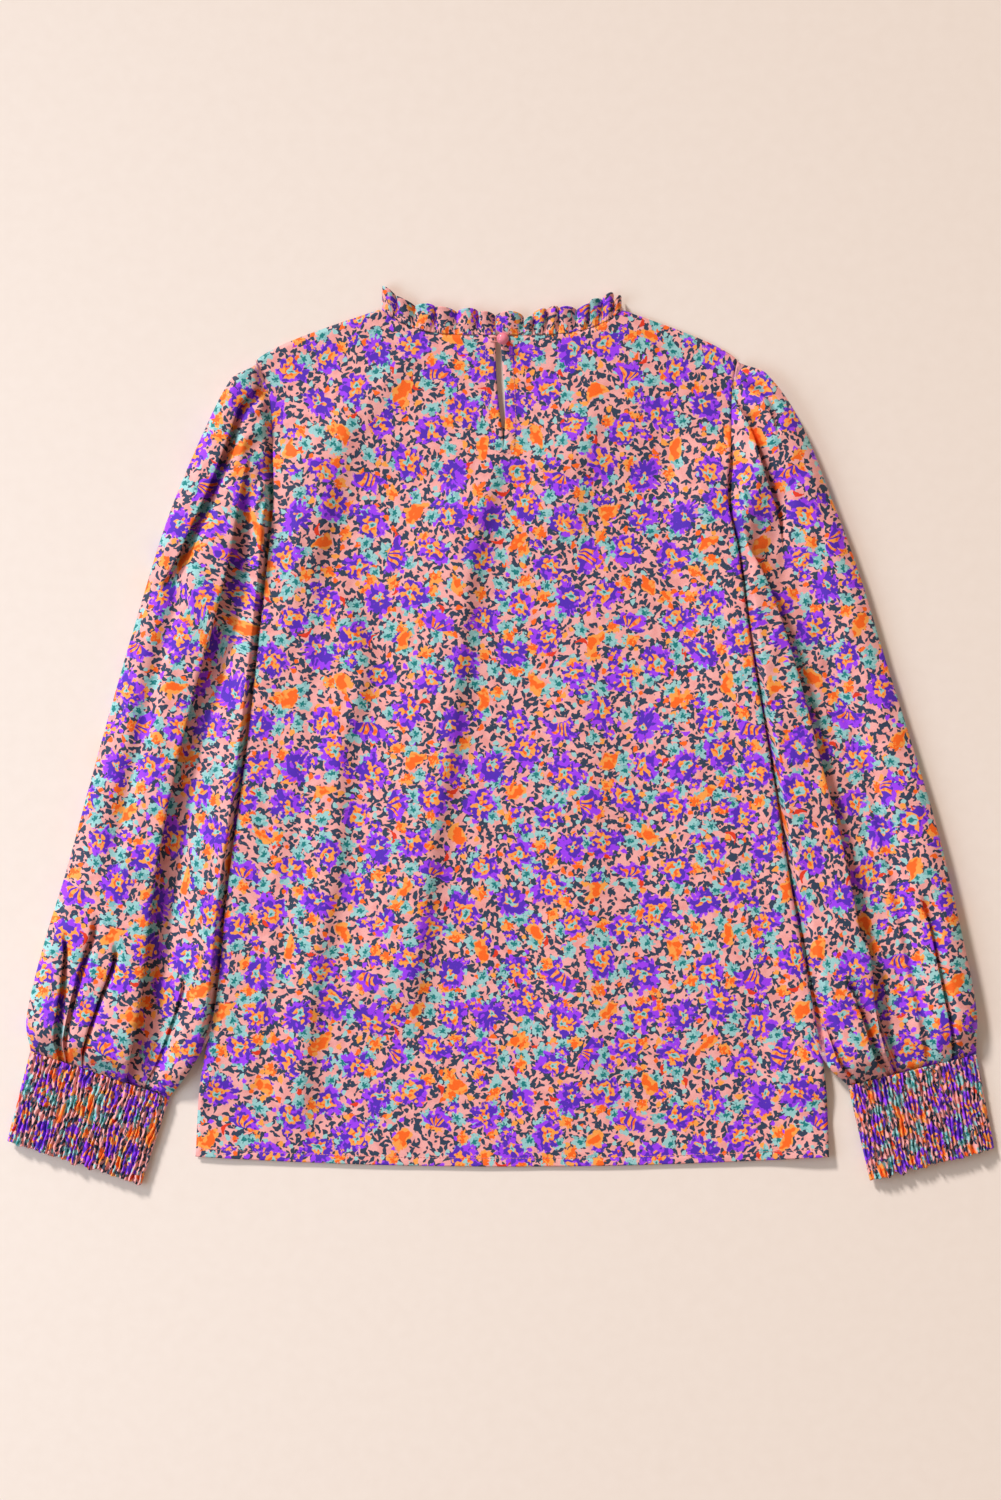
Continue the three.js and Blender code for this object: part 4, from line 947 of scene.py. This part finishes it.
def cuff_rows(cuff, end, seed, settings):
    """Rings down a cuff. Rows of elastic thread draw the cloth into close ribs, which end in a free edge."""
    per_rib, under, steps = 8, 70, 72
    top = CUFF["ribs"] * per_rib
    start = cuff["rows"][-1]
    rows = []
    for j in range(steps + 1):
        along = j / steps
        outer = [lerp(start[a], end[a], along) for a in ("xo", "yo")]
        inner = [lerp(start[a], end[a], along) for a in ("xi", "yi")]
        turned_at = along_grain(cuff, *inner)[0]
        wide = math.dist(outer, inner)
        elastic = 0.5 + 0.5 * math.cos(FULL_TURN * CUFF["rows"] * along)
        free = smooth((along - 1 + CUFF["free"]) / CUFF["free"])
        row = []
        for i in range(top + 1):
            across = i / top
            rim = rim_share(across, 14)
            drift = 0.9 * wobble(across * 12, along * 3, 1.0, seed)
            drift += 0.35 * wobble(across * 30, along * 14, 1.0, seed)
            wave = math.sin(math.pi * (CUFF["ribs"] * across + drift)) ** 2
            rib = settings.smocking / MM * (wave ** 0.45 - 0.65) * (1 - 0.3 * elastic)
            flare = CUFF["flare"] * free * (wobble(across * 14, 0, 1.0, seed + 5) + 0.3)
            z = 1.0 + rim * (CUFF["top"] - 1.0 + rib - 0.35 * elastic + flare)
            z += (1 - rim) * rounded_edge(across, wide, 1.0)
            edge = 3.4 * free * wobble(across * 17, 1, 1.0, seed + 2)
            x, y = lerp(outer[0], inner[0], across), lerp(outer[1], inner[1], across)
            cloth_x, cloth_y = along_grain(cuff, x, y)
            row.append((x + cuff["down"][0] * edge, y + cuff["down"][1] * edge, max(z, 0.9),
                        cloth_x * CUFF["gathered"], cloth_y))
        for i in range(1, under + 1):
            across = 1 - i / under
            rim = rim_share(across, 14)
            rib = 0.12 * math.cos(FULL_TURN * CUFF["ribs"] * across)
            x, y = lerp(outer[0], inner[0], across), lerp(outer[1], inner[1], across)
            cloth_x, cloth_y = along_grain(cuff, x, y)
            z = 1.0 - rim * (0.35 + rib) + rounded_edge(across, wide, 1.0)
            row.append((x, y, z, (2 * turned_at - cloth_x) * CUFF["gathered"], cloth_y))
        rows.append(row)
    return rows


def make_cuff(sleeve, end, seed, settings):
    return sheet_piece(sleeve["side"] + "_cuff", cuff_rows(sleeve, end, seed, settings), smocked_crepe(settings),
                       settings.cloth_thickness, closed=True, facing=sleeve["facing"])


# The neck ruffle

def ruffle_rows(half, lobes, settings):
    """Rows of half of the back's ruffle. Each lobe rolls over the notches at its sides."""
    total = sum(lobe["wide"] for lobe in lobes)
    slit_x = column(SLIT, "y", NECK["back"], half)
    first = (slit_x - NECK["left"]) / (NECK["right"] - NECK["left"])
    last = 0.004 if half == "left" else 0.996
    outward = -1 if half == "left" else 1
    per_lobe, up = 26, 22
    rows = []
    for j in range(up + 1):
        v = j / up
        row = []
        passed = 0.0
        for k, lobe in enumerate(lobes):
            next_high = lobes[min(k + 1, len(lobes) - 1)]["high"]
            for i in range(0 if k == 0 else 1, per_lobe + 1):
                t = i / per_lobe
                rolled = t - settings.ruffle_roll * v * math.sin(FULL_TURN * t)
                share = (passed + rolled * lobe["wide"]) / total
                x, y = neckline(lerp(first, last, clamp(share)), NECK["back"], NECK["power"])
                hump = math.sin(math.pi * t) ** 2
                high = lerp(lobe["high"], (lobe["high"] + next_high) / 2, t * t)
                high -= RUFFLE["notch"] * (1 - hump)
                small = RUFFLE["gather_high"] * math.sin(math.pi * RUFFLE["gather"] * t) ** 2
                small *= math.exp(-v / 0.35)
                wave = lerp(RUFFLE["at_seam"], settings.ruffle_wave / MM, v) * hump + small
                wave += 0.35 * v * wobble(passed + t * lobe["wide"], v * 20, 6, 9.0)
                lean = outward * lobe["lean"] * high * v * hump
                z = 2 * WALL + SEAM_GAP + NECK_RISE["high"] - 0.3 + wave - 0.8 * v * (1 - hump)
                if half == "right" and k == 0:
                    # The end of the right half lies over the slit, and meets the left half
                    lapped = (1 - t) ** 2 * smooth(v / 0.3)
                    lean -= RUFFLE["overlap"] * lapped
                    z += 0.8 * lapped
                cloth_x = (passed + t * lobe["wide"]) * 1.9 * -outward + 40
                row.append((x + lean, y + 0.2 + v * high, z, cloth_x, v * 24 + 120))
            passed += lobe["wide"]
        rows.append(row)
    return rows if half == "right" else [row[::-1] for row in rows]


def front_ruffle_rows():
    """The hidden stretch of the ruffle, inside the front's neckline."""
    rows = []
    steps, up = 224, 8
    small = 1e-3
    for j in range(up + 1):
        v = j / up
        row = []
        for i in range(steps + 1):
            share = i / steps
            t = lerp(0.012, 0.988, 0.5 - 0.5 * math.cos(math.pi * share))
            x, y = neckline(t, FRONT_NECK["lowest"], FRONT_NECK["power"])
            next_x, next_y = neckline(t + small, FRONT_NECK["lowest"], FRONT_NECK["power"])
            long = math.hypot(next_x - x, next_y - y)
            rise = 2 * SEAM_GAP + v * FRONT_RUFFLE["high"]
            turns = FULL_TURN * FRONT_RUFFLE["waves"] * share
            z = FRONT_RUFFLE["wave"] * v * (0.5 - 0.5 * math.cos(turns)) + 0.5
            row.append((x - rise * (next_y - y) / long, y + rise * (next_x - x) / long, z, share * 500, v * 24))
        rows.append(row)
    return rows


# Button, loop and sewing

def make_button(settings):
    """A flattened ball on a short shank, turned about its axis."""
    foot = 2 * WALL + SEAM_GAP + NECK_RISE["high"] + SEAM_GAP
    first = math.asin(BUTTON["shank"] / BUTTON["radius"])
    centre = foot + BUTTON["shank_high"] + BUTTON["high"] * math.cos(first)
    profile = [(0.0, foot), (BUTTON["shank"] * 0.9, foot), (BUTTON["shank"], foot + 0.15)]
    profile += [(BUTTON["shank"], foot + BUTTON["shank_high"] * share) for share in (0.4, 0.8)]
    for i in range(25):
        angle = lerp(first, math.pi, i / 24)
        # A faint ridge runs round the widest part, where the two halves of the mould met
        ridge = 0.05 * math.exp(-(((angle - math.pi / 2) / 0.04) ** 2))
        radius = (BUTTON["radius"] + ridge) * math.sin(angle) * (i < 24)
        profile.append((radius, centre - BUTTON["high"] * math.cos(angle)))
    sides = 56
    points = []
    for radius, z in profile:
        points += [(BUTTON["x"] + radius * math.cos(FULL_TURN * k / sides),
                    BUTTON["y"] + radius * math.sin(FULL_TURN * k / sides), z) for k in range(sides)]
    resin = material_named("tumbled polyester resin", cast_resin, settings)
    piece = new_piece("ball_button", points, ring_faces(len(profile), sides), [], [resin])
    weld(piece)
    return piece


def ring_faces(rings, sides):
    """The faces between rings of points."""
    faces = []
    for j in range(0, (rings - 1) * sides, sides):
        faces += [(j + k, j + (k + 1) % sides, j + sides + (k + 1) % sides, j + sides + k) for k in range(sides)]
    return faces


def weld(piece):
    """Joins the points that meet on an axis, and drops the faces without area."""
    work = bmesh.new()
    work.from_mesh(piece.data)
    bmesh.ops.remove_doubles(work, verts=work.verts, dist=1e-6)
    bmesh.ops.dissolve_degenerate(work, edges=work.edges, dist=1e-7)
    bmesh.ops.recalc_face_normals(work, faces=work.faces)
    work.to_mesh(piece.data)
    work.free()


def round_tube(path, radius, sides=8):
    """Points and faces of a closed round tube along a path of (x, y, z)."""
    points = []
    for j, (x, y, z) in enumerate(path):
        before, after = path[max(j - 1, 0)], path[min(j + 1, len(path) - 1)]
        dx, dy = after[0] - before[0], after[1] - before[1]
        long = math.hypot(dx, dy) or 1.0
        across = (-dy / long, dx / long)
        shrink = 0.55 if j in (0, len(path) - 1) else 1.0
        for k in range(sides):
            angle = FULL_TURN * k / sides
            points.append((x + across[0] * radius * shrink * math.cos(angle),
                           y + across[1] * radius * shrink * math.cos(angle),
                           z + radius * shrink * math.sin(angle)))
    ends = [tuple(reversed(range(sides))), tuple(range((len(path) - 1) * sides, len(path) * sides))]
    return points, ring_faces(len(path), sides) + ends


def make_loop(settings):
    """A covered thread sewn down at the left of the slit, which passes round the button's shank."""
    z = 2 * WALL + SEAM_GAP + NECK_RISE["high"] + SEAM_GAP + LOOP["thread"]
    around = BUTTON["shank"] + SEAM_GAP + LOOP["thread"]
    path = [(lerp(LOOP["from"], BUTTON["x"], i / 8), BUTTON["y"] + lerp(LOOP["spread"], around, i / 8), z)
            for i in range(8)]
    for i in range(13):
        angle = lerp(math.pi / 2, -math.pi / 2, i / 12)
        path.append((BUTTON["x"] + around * math.cos(angle), BUTTON["y"] + around * math.sin(angle), z))
    path += [(lerp(BUTTON["x"], LOOP["from"], i / 8), BUTTON["y"] - lerp(around, LOOP["spread"], i / 8), z)
             for i in range(1, 9)]
    points, faces = round_tube(path, LOOP["thread"], 10)
    thread = material_named("spun polyester thread", sewing_thread, settings)
    return new_piece("button_loop_thread", points, faces, [], [thread])


def stitch_row(name, line, height, settings):
    """A row of stitches along a line of (x, y), each sunk into the cloth at its ends."""
    pitch = settings.stitch_length / MM
    lengths = [0.0]
    for a, b in zip(line, line[1:]):
        lengths.append(lengths[-1] + math.dist(a, b))
    rows = [{"s": s, "x": x, "y": y} for s, (x, y) in zip(lengths, line)]
    points = []
    faces = []
    for k in range(int(lengths[-1] / pitch)):
        path = []
        for i in range(5):
            s = (k + 0.11 + 0.78 * i / 4) * pitch
            x, y = column(rows, "s", s, "x"), column(rows, "s", s, "y")
            path.append((x, y, height(x, y) + 0.3 * math.sin(math.pi * i / 4) - 0.05))
        new_points, new_faces = round_tube(path, 0.24, 6)
        faces += [tuple(number + len(points) for number in face) for face in new_faces]
        points += new_points
    thread = material_named("spun polyester thread", sewing_thread, settings)
    return new_piece(name, points, faces, [], [thread])


def hem_line():
    return [(panel_place(i / 120, 0)[0], panel_place(i / 120, 0)[1] + HEM_STITCH) for i in range(1, 120)]


def slit_line():
    """Down the left of the slit, round below it, and up its right side."""
    steps = 24
    off = SLIT_STITCH["off"]
    heights = [lerp(309, SLIT[0]["y"], i / steps) for i in range(steps + 1)]
    left = [(column(SLIT, "y", y, "left") - off, y) for y in heights]
    right = [(column(SLIT, "y", y, "right") + off, y) for y in reversed(heights)]
    low_x, low_y = SLIT[0]["left"], SLIT[0]["y"]
    turn = [(low_x - off * math.cos(math.pi * i / 12), low_y - off * math.sin(math.pi * i / 12))
            for i in range(1, 12)]
    return left + turn + right


# Settings, operators and the panel

def colour_setting(name, default, description):
    return bpy.props.StringProperty(name=name, default=default, description=description)


class BlouseSettings(bpy.types.PropertyGroup):
    cloth_thickness: bpy.props.FloatProperty(
        name="Cloth thickness", description="Thickness of the crepe", default=0.00035, min=0.0001,
        unit="LENGTH", subtype="DISTANCE", precision=5)
    sleeve_puff: bpy.props.FloatProperty(
        name="Sleeve puff", description="How high the full sleeve stands", default=0.0198, min=0.0,
        unit="LENGTH", subtype="DISTANCE", precision=4)
    smocking: bpy.props.FloatProperty(
        name="Smocking height", description="Height of the ribs of the cuffs", default=0.0056, min=0.0,
        unit="LENGTH", subtype="DISTANCE", precision=4)
    ruffle_wave: bpy.props.FloatProperty(
        name="Ruffle wave", description="Height of the waves of the neck ruffle", default=0.0065, min=0.0,
        unit="LENGTH", subtype="DISTANCE", precision=4)
    ruffle_roll: bpy.props.FloatProperty(
        name="Ruffle roll", description="How far a wave rolls over its sides", default=0.17, min=0.0, max=0.3)
    stitch_length: bpy.props.FloatProperty(
        name="Stitch length", description="Length of one machine stitch", default=0.0025, min=0.001,
        unit="LENGTH", subtype="DISTANCE", precision=4)
    repeat_wide: bpy.props.FloatProperty(
        name="Repeat width", description="Width of the printed repeat", default=0.150, min=0.05,
        unit="LENGTH", subtype="DISTANCE")
    repeat_high: bpy.props.FloatProperty(
        name="Repeat height", description="Height of the printed repeat", default=0.194, min=0.05,
        unit="LENGTH", subtype="DISTANCE")
    cloth_roughness: bpy.props.FloatProperty(
        name="Cloth roughness", description="Roughness of the crepe", default=0.62, min=0, max=1,
        subtype="FACTOR")
    cloth_sheen: bpy.props.FloatProperty(
        name="Cloth sheen", description="Strength of the crepe's sheen", default=0.12, min=0,
        max=1, subtype="FACTOR")
    key_strength: bpy.props.FloatProperty(
        name="Key light", description="Strength of the low key light", default=2.9, min=0.0)
    side_power: bpy.props.FloatProperty(
        name="Side light", description="Power of the broad side light", default=14.0, min=0.0, unit="POWER")
    sky_strength: bpy.props.FloatProperty(
        name="Fill", description="Strength of the even fill light", default=0.37, min=0.0)
    ground: colour_setting("Ground", "#F9B1AE", "Ground of the print, as sRGB hex")
    ground_deep: colour_setting("Deep ground", "#F0A09C", "Deeper patches of the ground, as sRGB hex")
    violet_dark: colour_setting("Dark violet", "#5629BE", "Darker petals, as sRGB hex")
    violet_bright: colour_setting("Bright violet", "#A03DFA", "Brighter petals, as sRGB hex")
    orange_light: colour_setting("Light orange", "#FFA64C", "Lighter orange petals, as sRGB hex")
    orange_deep: colour_setting("Deep orange", "#FF6A1A", "Deeper orange petals, as sRGB hex")
    aqua: colour_setting("Aqua", "#9DD1D2", "Aqua blossoms, as sRGB hex")
    aqua_deep: colour_setting("Deep aqua", "#80BFC2", "Shaded aqua petals, as sRGB hex")
    teal: colour_setting("Teal", "#0F7F80", "Hearts of the aqua blossoms, as sRGB hex")
    leaf: colour_setting("Leaf", "#2E4057", "Slate leaves, as sRGB hex")
    red: colour_setting("Red", "#E83A1E", "The few red leaves, as sRGB hex")
    thread: colour_setting("Thread", "#F0A49C", "Sewing thread, as sRGB hex")
    # The dark thread colour is painted shade in the grooves between the plies
    thread_groove_shade: colour_setting("Dark thread", "#C4746C", "Sewing thread between its plies, as sRGB hex")
    button: colour_setting("Button", "#FF9CB0", "Resin of the button, as sRGB hex")
    button_deep: colour_setting("Deep button", "#E0607A", "Deeper clouds in the resin, as sRGB hex")
    floor: colour_setting("Floor", "#F6EBE2", "Painted board below the blouse, as sRGB hex")
    floor_deep: colour_setting("Deep floor", "#F1E5DB", "Deeper patches of the board, as sRGB hex")


class BLOUSE_OT_stage(bpy.types.Operator):
    """Sets the board, the studio light and the camera straight above the blouse"""

    bl_idname = "blouse.stage"
    bl_label = "Stage"

    def execute(self, context):
        settings = context.scene.blouse
        scene = context.scene
        scene.view_settings.view_transform = "Standard"
        half = 3.0
        mesh = bpy.data.meshes.new("board")
        corners = [(-half, -half, 0), (half, -half, 0), (half, half, 0), (-half, half, 0)]
        mesh.from_pydata(corners, [], [(0, 1, 2, 3)])
        board = bpy.data.objects.new("board", mesh)
        mesh.materials.append(material_named("pale painted board", pale_plaster, settings))
        scene.collection.objects.link(board)

        world = bpy.data.worlds.new("even fill")
        world.use_nodes = True
        world.node_tree.nodes["Background"].inputs["Color"].default_value = linear("#FFE9D4")
        world.node_tree.nodes["Background"].inputs["Strength"].default_value = settings.sky_strength
        scene.world = world

        self.add_key(scene, settings)
        self.add_side(scene, settings)
        self.add_camera(scene)
        return {"FINISHED"}

    def add_key(self, scene, settings):
        """A low, fairly small light from the upper left, far enough away to be even."""
        light = bpy.data.lights.new("key", "SUN")
        light.energy = settings.key_strength
        light.angle = math.radians(9)
        light.color = linear("#FFF8F4")[:3]
        self.place_light(scene, light, (-1.0, 1.4, 1.0))

    def add_side(self, scene, settings):
        """A broad light at the left, which makes the board a little darker towards the right."""
        light = bpy.data.lights.new("side", "AREA")
        light.energy = settings.side_power
        light.size = 1.2
        light.color = linear("#D5EAFF")[:3]
        self.place_light(scene, light, (-1.35, -0.1, 1.15))

    def place_light(self, scene, light, place):
        lamp = bpy.data.objects.new(light.name, light)
        lamp.location = place
        toward = -lamp.location
        lamp.rotation_euler = toward.to_track_quat("-Z", "Y").to_euler()
        scene.collection.objects.link(lamp)

    def add_camera(self, scene):
        """The picture is 1001 by 1500 pixels of 0.78 mm, seen from straight above."""
        pixel = 0.78 * MM
        picture_high = 1500
        seam_row = 738  # the picture's row that lies on y = 0 of the tables
        above = 2.6
        data = bpy.data.cameras.new("overhead camera")
        data.sensor_fit = "VERTICAL"
        data.sensor_height = 24
        data.lens = data.sensor_height * above / (picture_high * pixel)
        camera = bpy.data.objects.new("overhead camera", data)
        camera.location = (-LAY["x"] * MM, (seam_row - picture_high / 2) * pixel - LAY["y"] * MM, above)
        scene.collection.objects.link(camera)
        scene.camera = camera


class BLOUSE_OT_body(bpy.types.Operator):
    """Builds the front panel and the back panel with its slit, and their rows of stitches"""

    bl_idname = "blouse.body"
    bl_label = "Body"

    def execute(self, context):
        settings = context.scene.blouse
        front = make_front(settings)
        declare(front, ["body_front"])
        back = make_back(settings)
        declare(back, ["body_back"])

        def height(x, y):
            return back_surface(x, y, y - HEM_STITCH) + 0.1

        hem = stitch_row("hem_stitches", hem_line(), height, settings)
        slit = stitch_row("slit_stitches", slit_line(), lambda x, y: back_surface(x, y, -1e3) + 0.1, settings)
        for row in (hem, slit):
            declare(row, [])
        return {"FINISHED"}


class BLOUSE_OT_sleeves(bpy.types.Operator):
    """Builds both gathered sleeves and their smocked cuffs"""

    bl_idname = "blouse.sleeves"
    bl_label = "Sleeves"

    def execute(self, context):
        settings = context.scene.blouse
        for name, end, seed in (("left", CUFF_LEFT, 31.0), ("right", CUFF_RIGHT, 47.0)):
            sleeve = make_sleeve(SLEEVES[name], settings)
            declare(sleeve, ["sleeve_" + name])
            cuff = make_cuff(SLEEVES[name], end, seed, settings)
            declare(cuff, ["cuff_" + name])
        return {"FINISHED"}


class BLOUSE_OT_ruffle(bpy.types.Operator):
    """Builds the gathered ruffle round the neck"""

    bl_idname = "blouse.ruffle"
    bl_label = "Neck ruffle"

    def execute(self, context):
        settings = context.scene.blouse
        for name, lobes, long in (("left", LOBES_LEFT, 0.13), ("right", LOBES_RIGHT, 0.135)):
            piece = sheet_piece("neck_ruffle_" + name, ruffle_rows(name, lobes, settings), crepe(settings),
                                settings.cloth_thickness)
            declare(piece, ["ruffle_back_" + name])
        piece = sheet_piece("neck_ruffle_front", front_ruffle_rows(), crepe(settings),
                            settings.cloth_thickness)
        declare(piece, ["ruffle_front"])
        return {"FINISHED"}


class BLOUSE_OT_button(bpy.types.Operator):
    """Builds the ball button and its loop"""

    bl_idname = "blouse.button"
    bl_label = "Button and loop"

    def execute(self, context):
        settings = context.scene.blouse
        declare(make_button(settings), ["button"])
        declare(make_loop(settings), ["button_loop"])
        return {"FINISHED"}


OPERATORS = (BLOUSE_OT_stage, BLOUSE_OT_body, BLOUSE_OT_sleeves, BLOUSE_OT_ruffle, BLOUSE_OT_button)


class BLOUSE_PT_sidebar(bpy.types.Panel):
    """Lists the blouse's sizes and the pieces to build"""

    bl_label = "Blouse"
    bl_idname = "BLOUSE_PT_sidebar"
    bl_space_type = "VIEW_3D"
    bl_region_type = "UI"
    bl_category = "Blouse"

    def draw(self, context):
        for name in BlouseSettings.__annotations__:
            self.layout.prop(context.scene.blouse, name)
        for operator in OPERATORS:
            self.layout.operator(operator.bl_idname)


CLASSES = (BlouseSettings, *OPERATORS, BLOUSE_PT_sidebar)


def register():
    for item in CLASSES:
        bpy.utils.register_class(item)
    bpy.types.Scene.blouse = bpy.props.PointerProperty(type=BlouseSettings)


def unregister():
    del bpy.types.Scene.blouse
    for item in reversed(CLASSES):
        bpy.utils.unregister_class(item)


def main():
    register()
    bpy.ops.blouse.stage()
    bpy.ops.blouse.body()
    bpy.ops.blouse.sleeves()
    bpy.ops.blouse.ruffle()
    bpy.ops.blouse.button()
    bpy.context.view_layer.update()


if __name__ == "__main__":
    main()
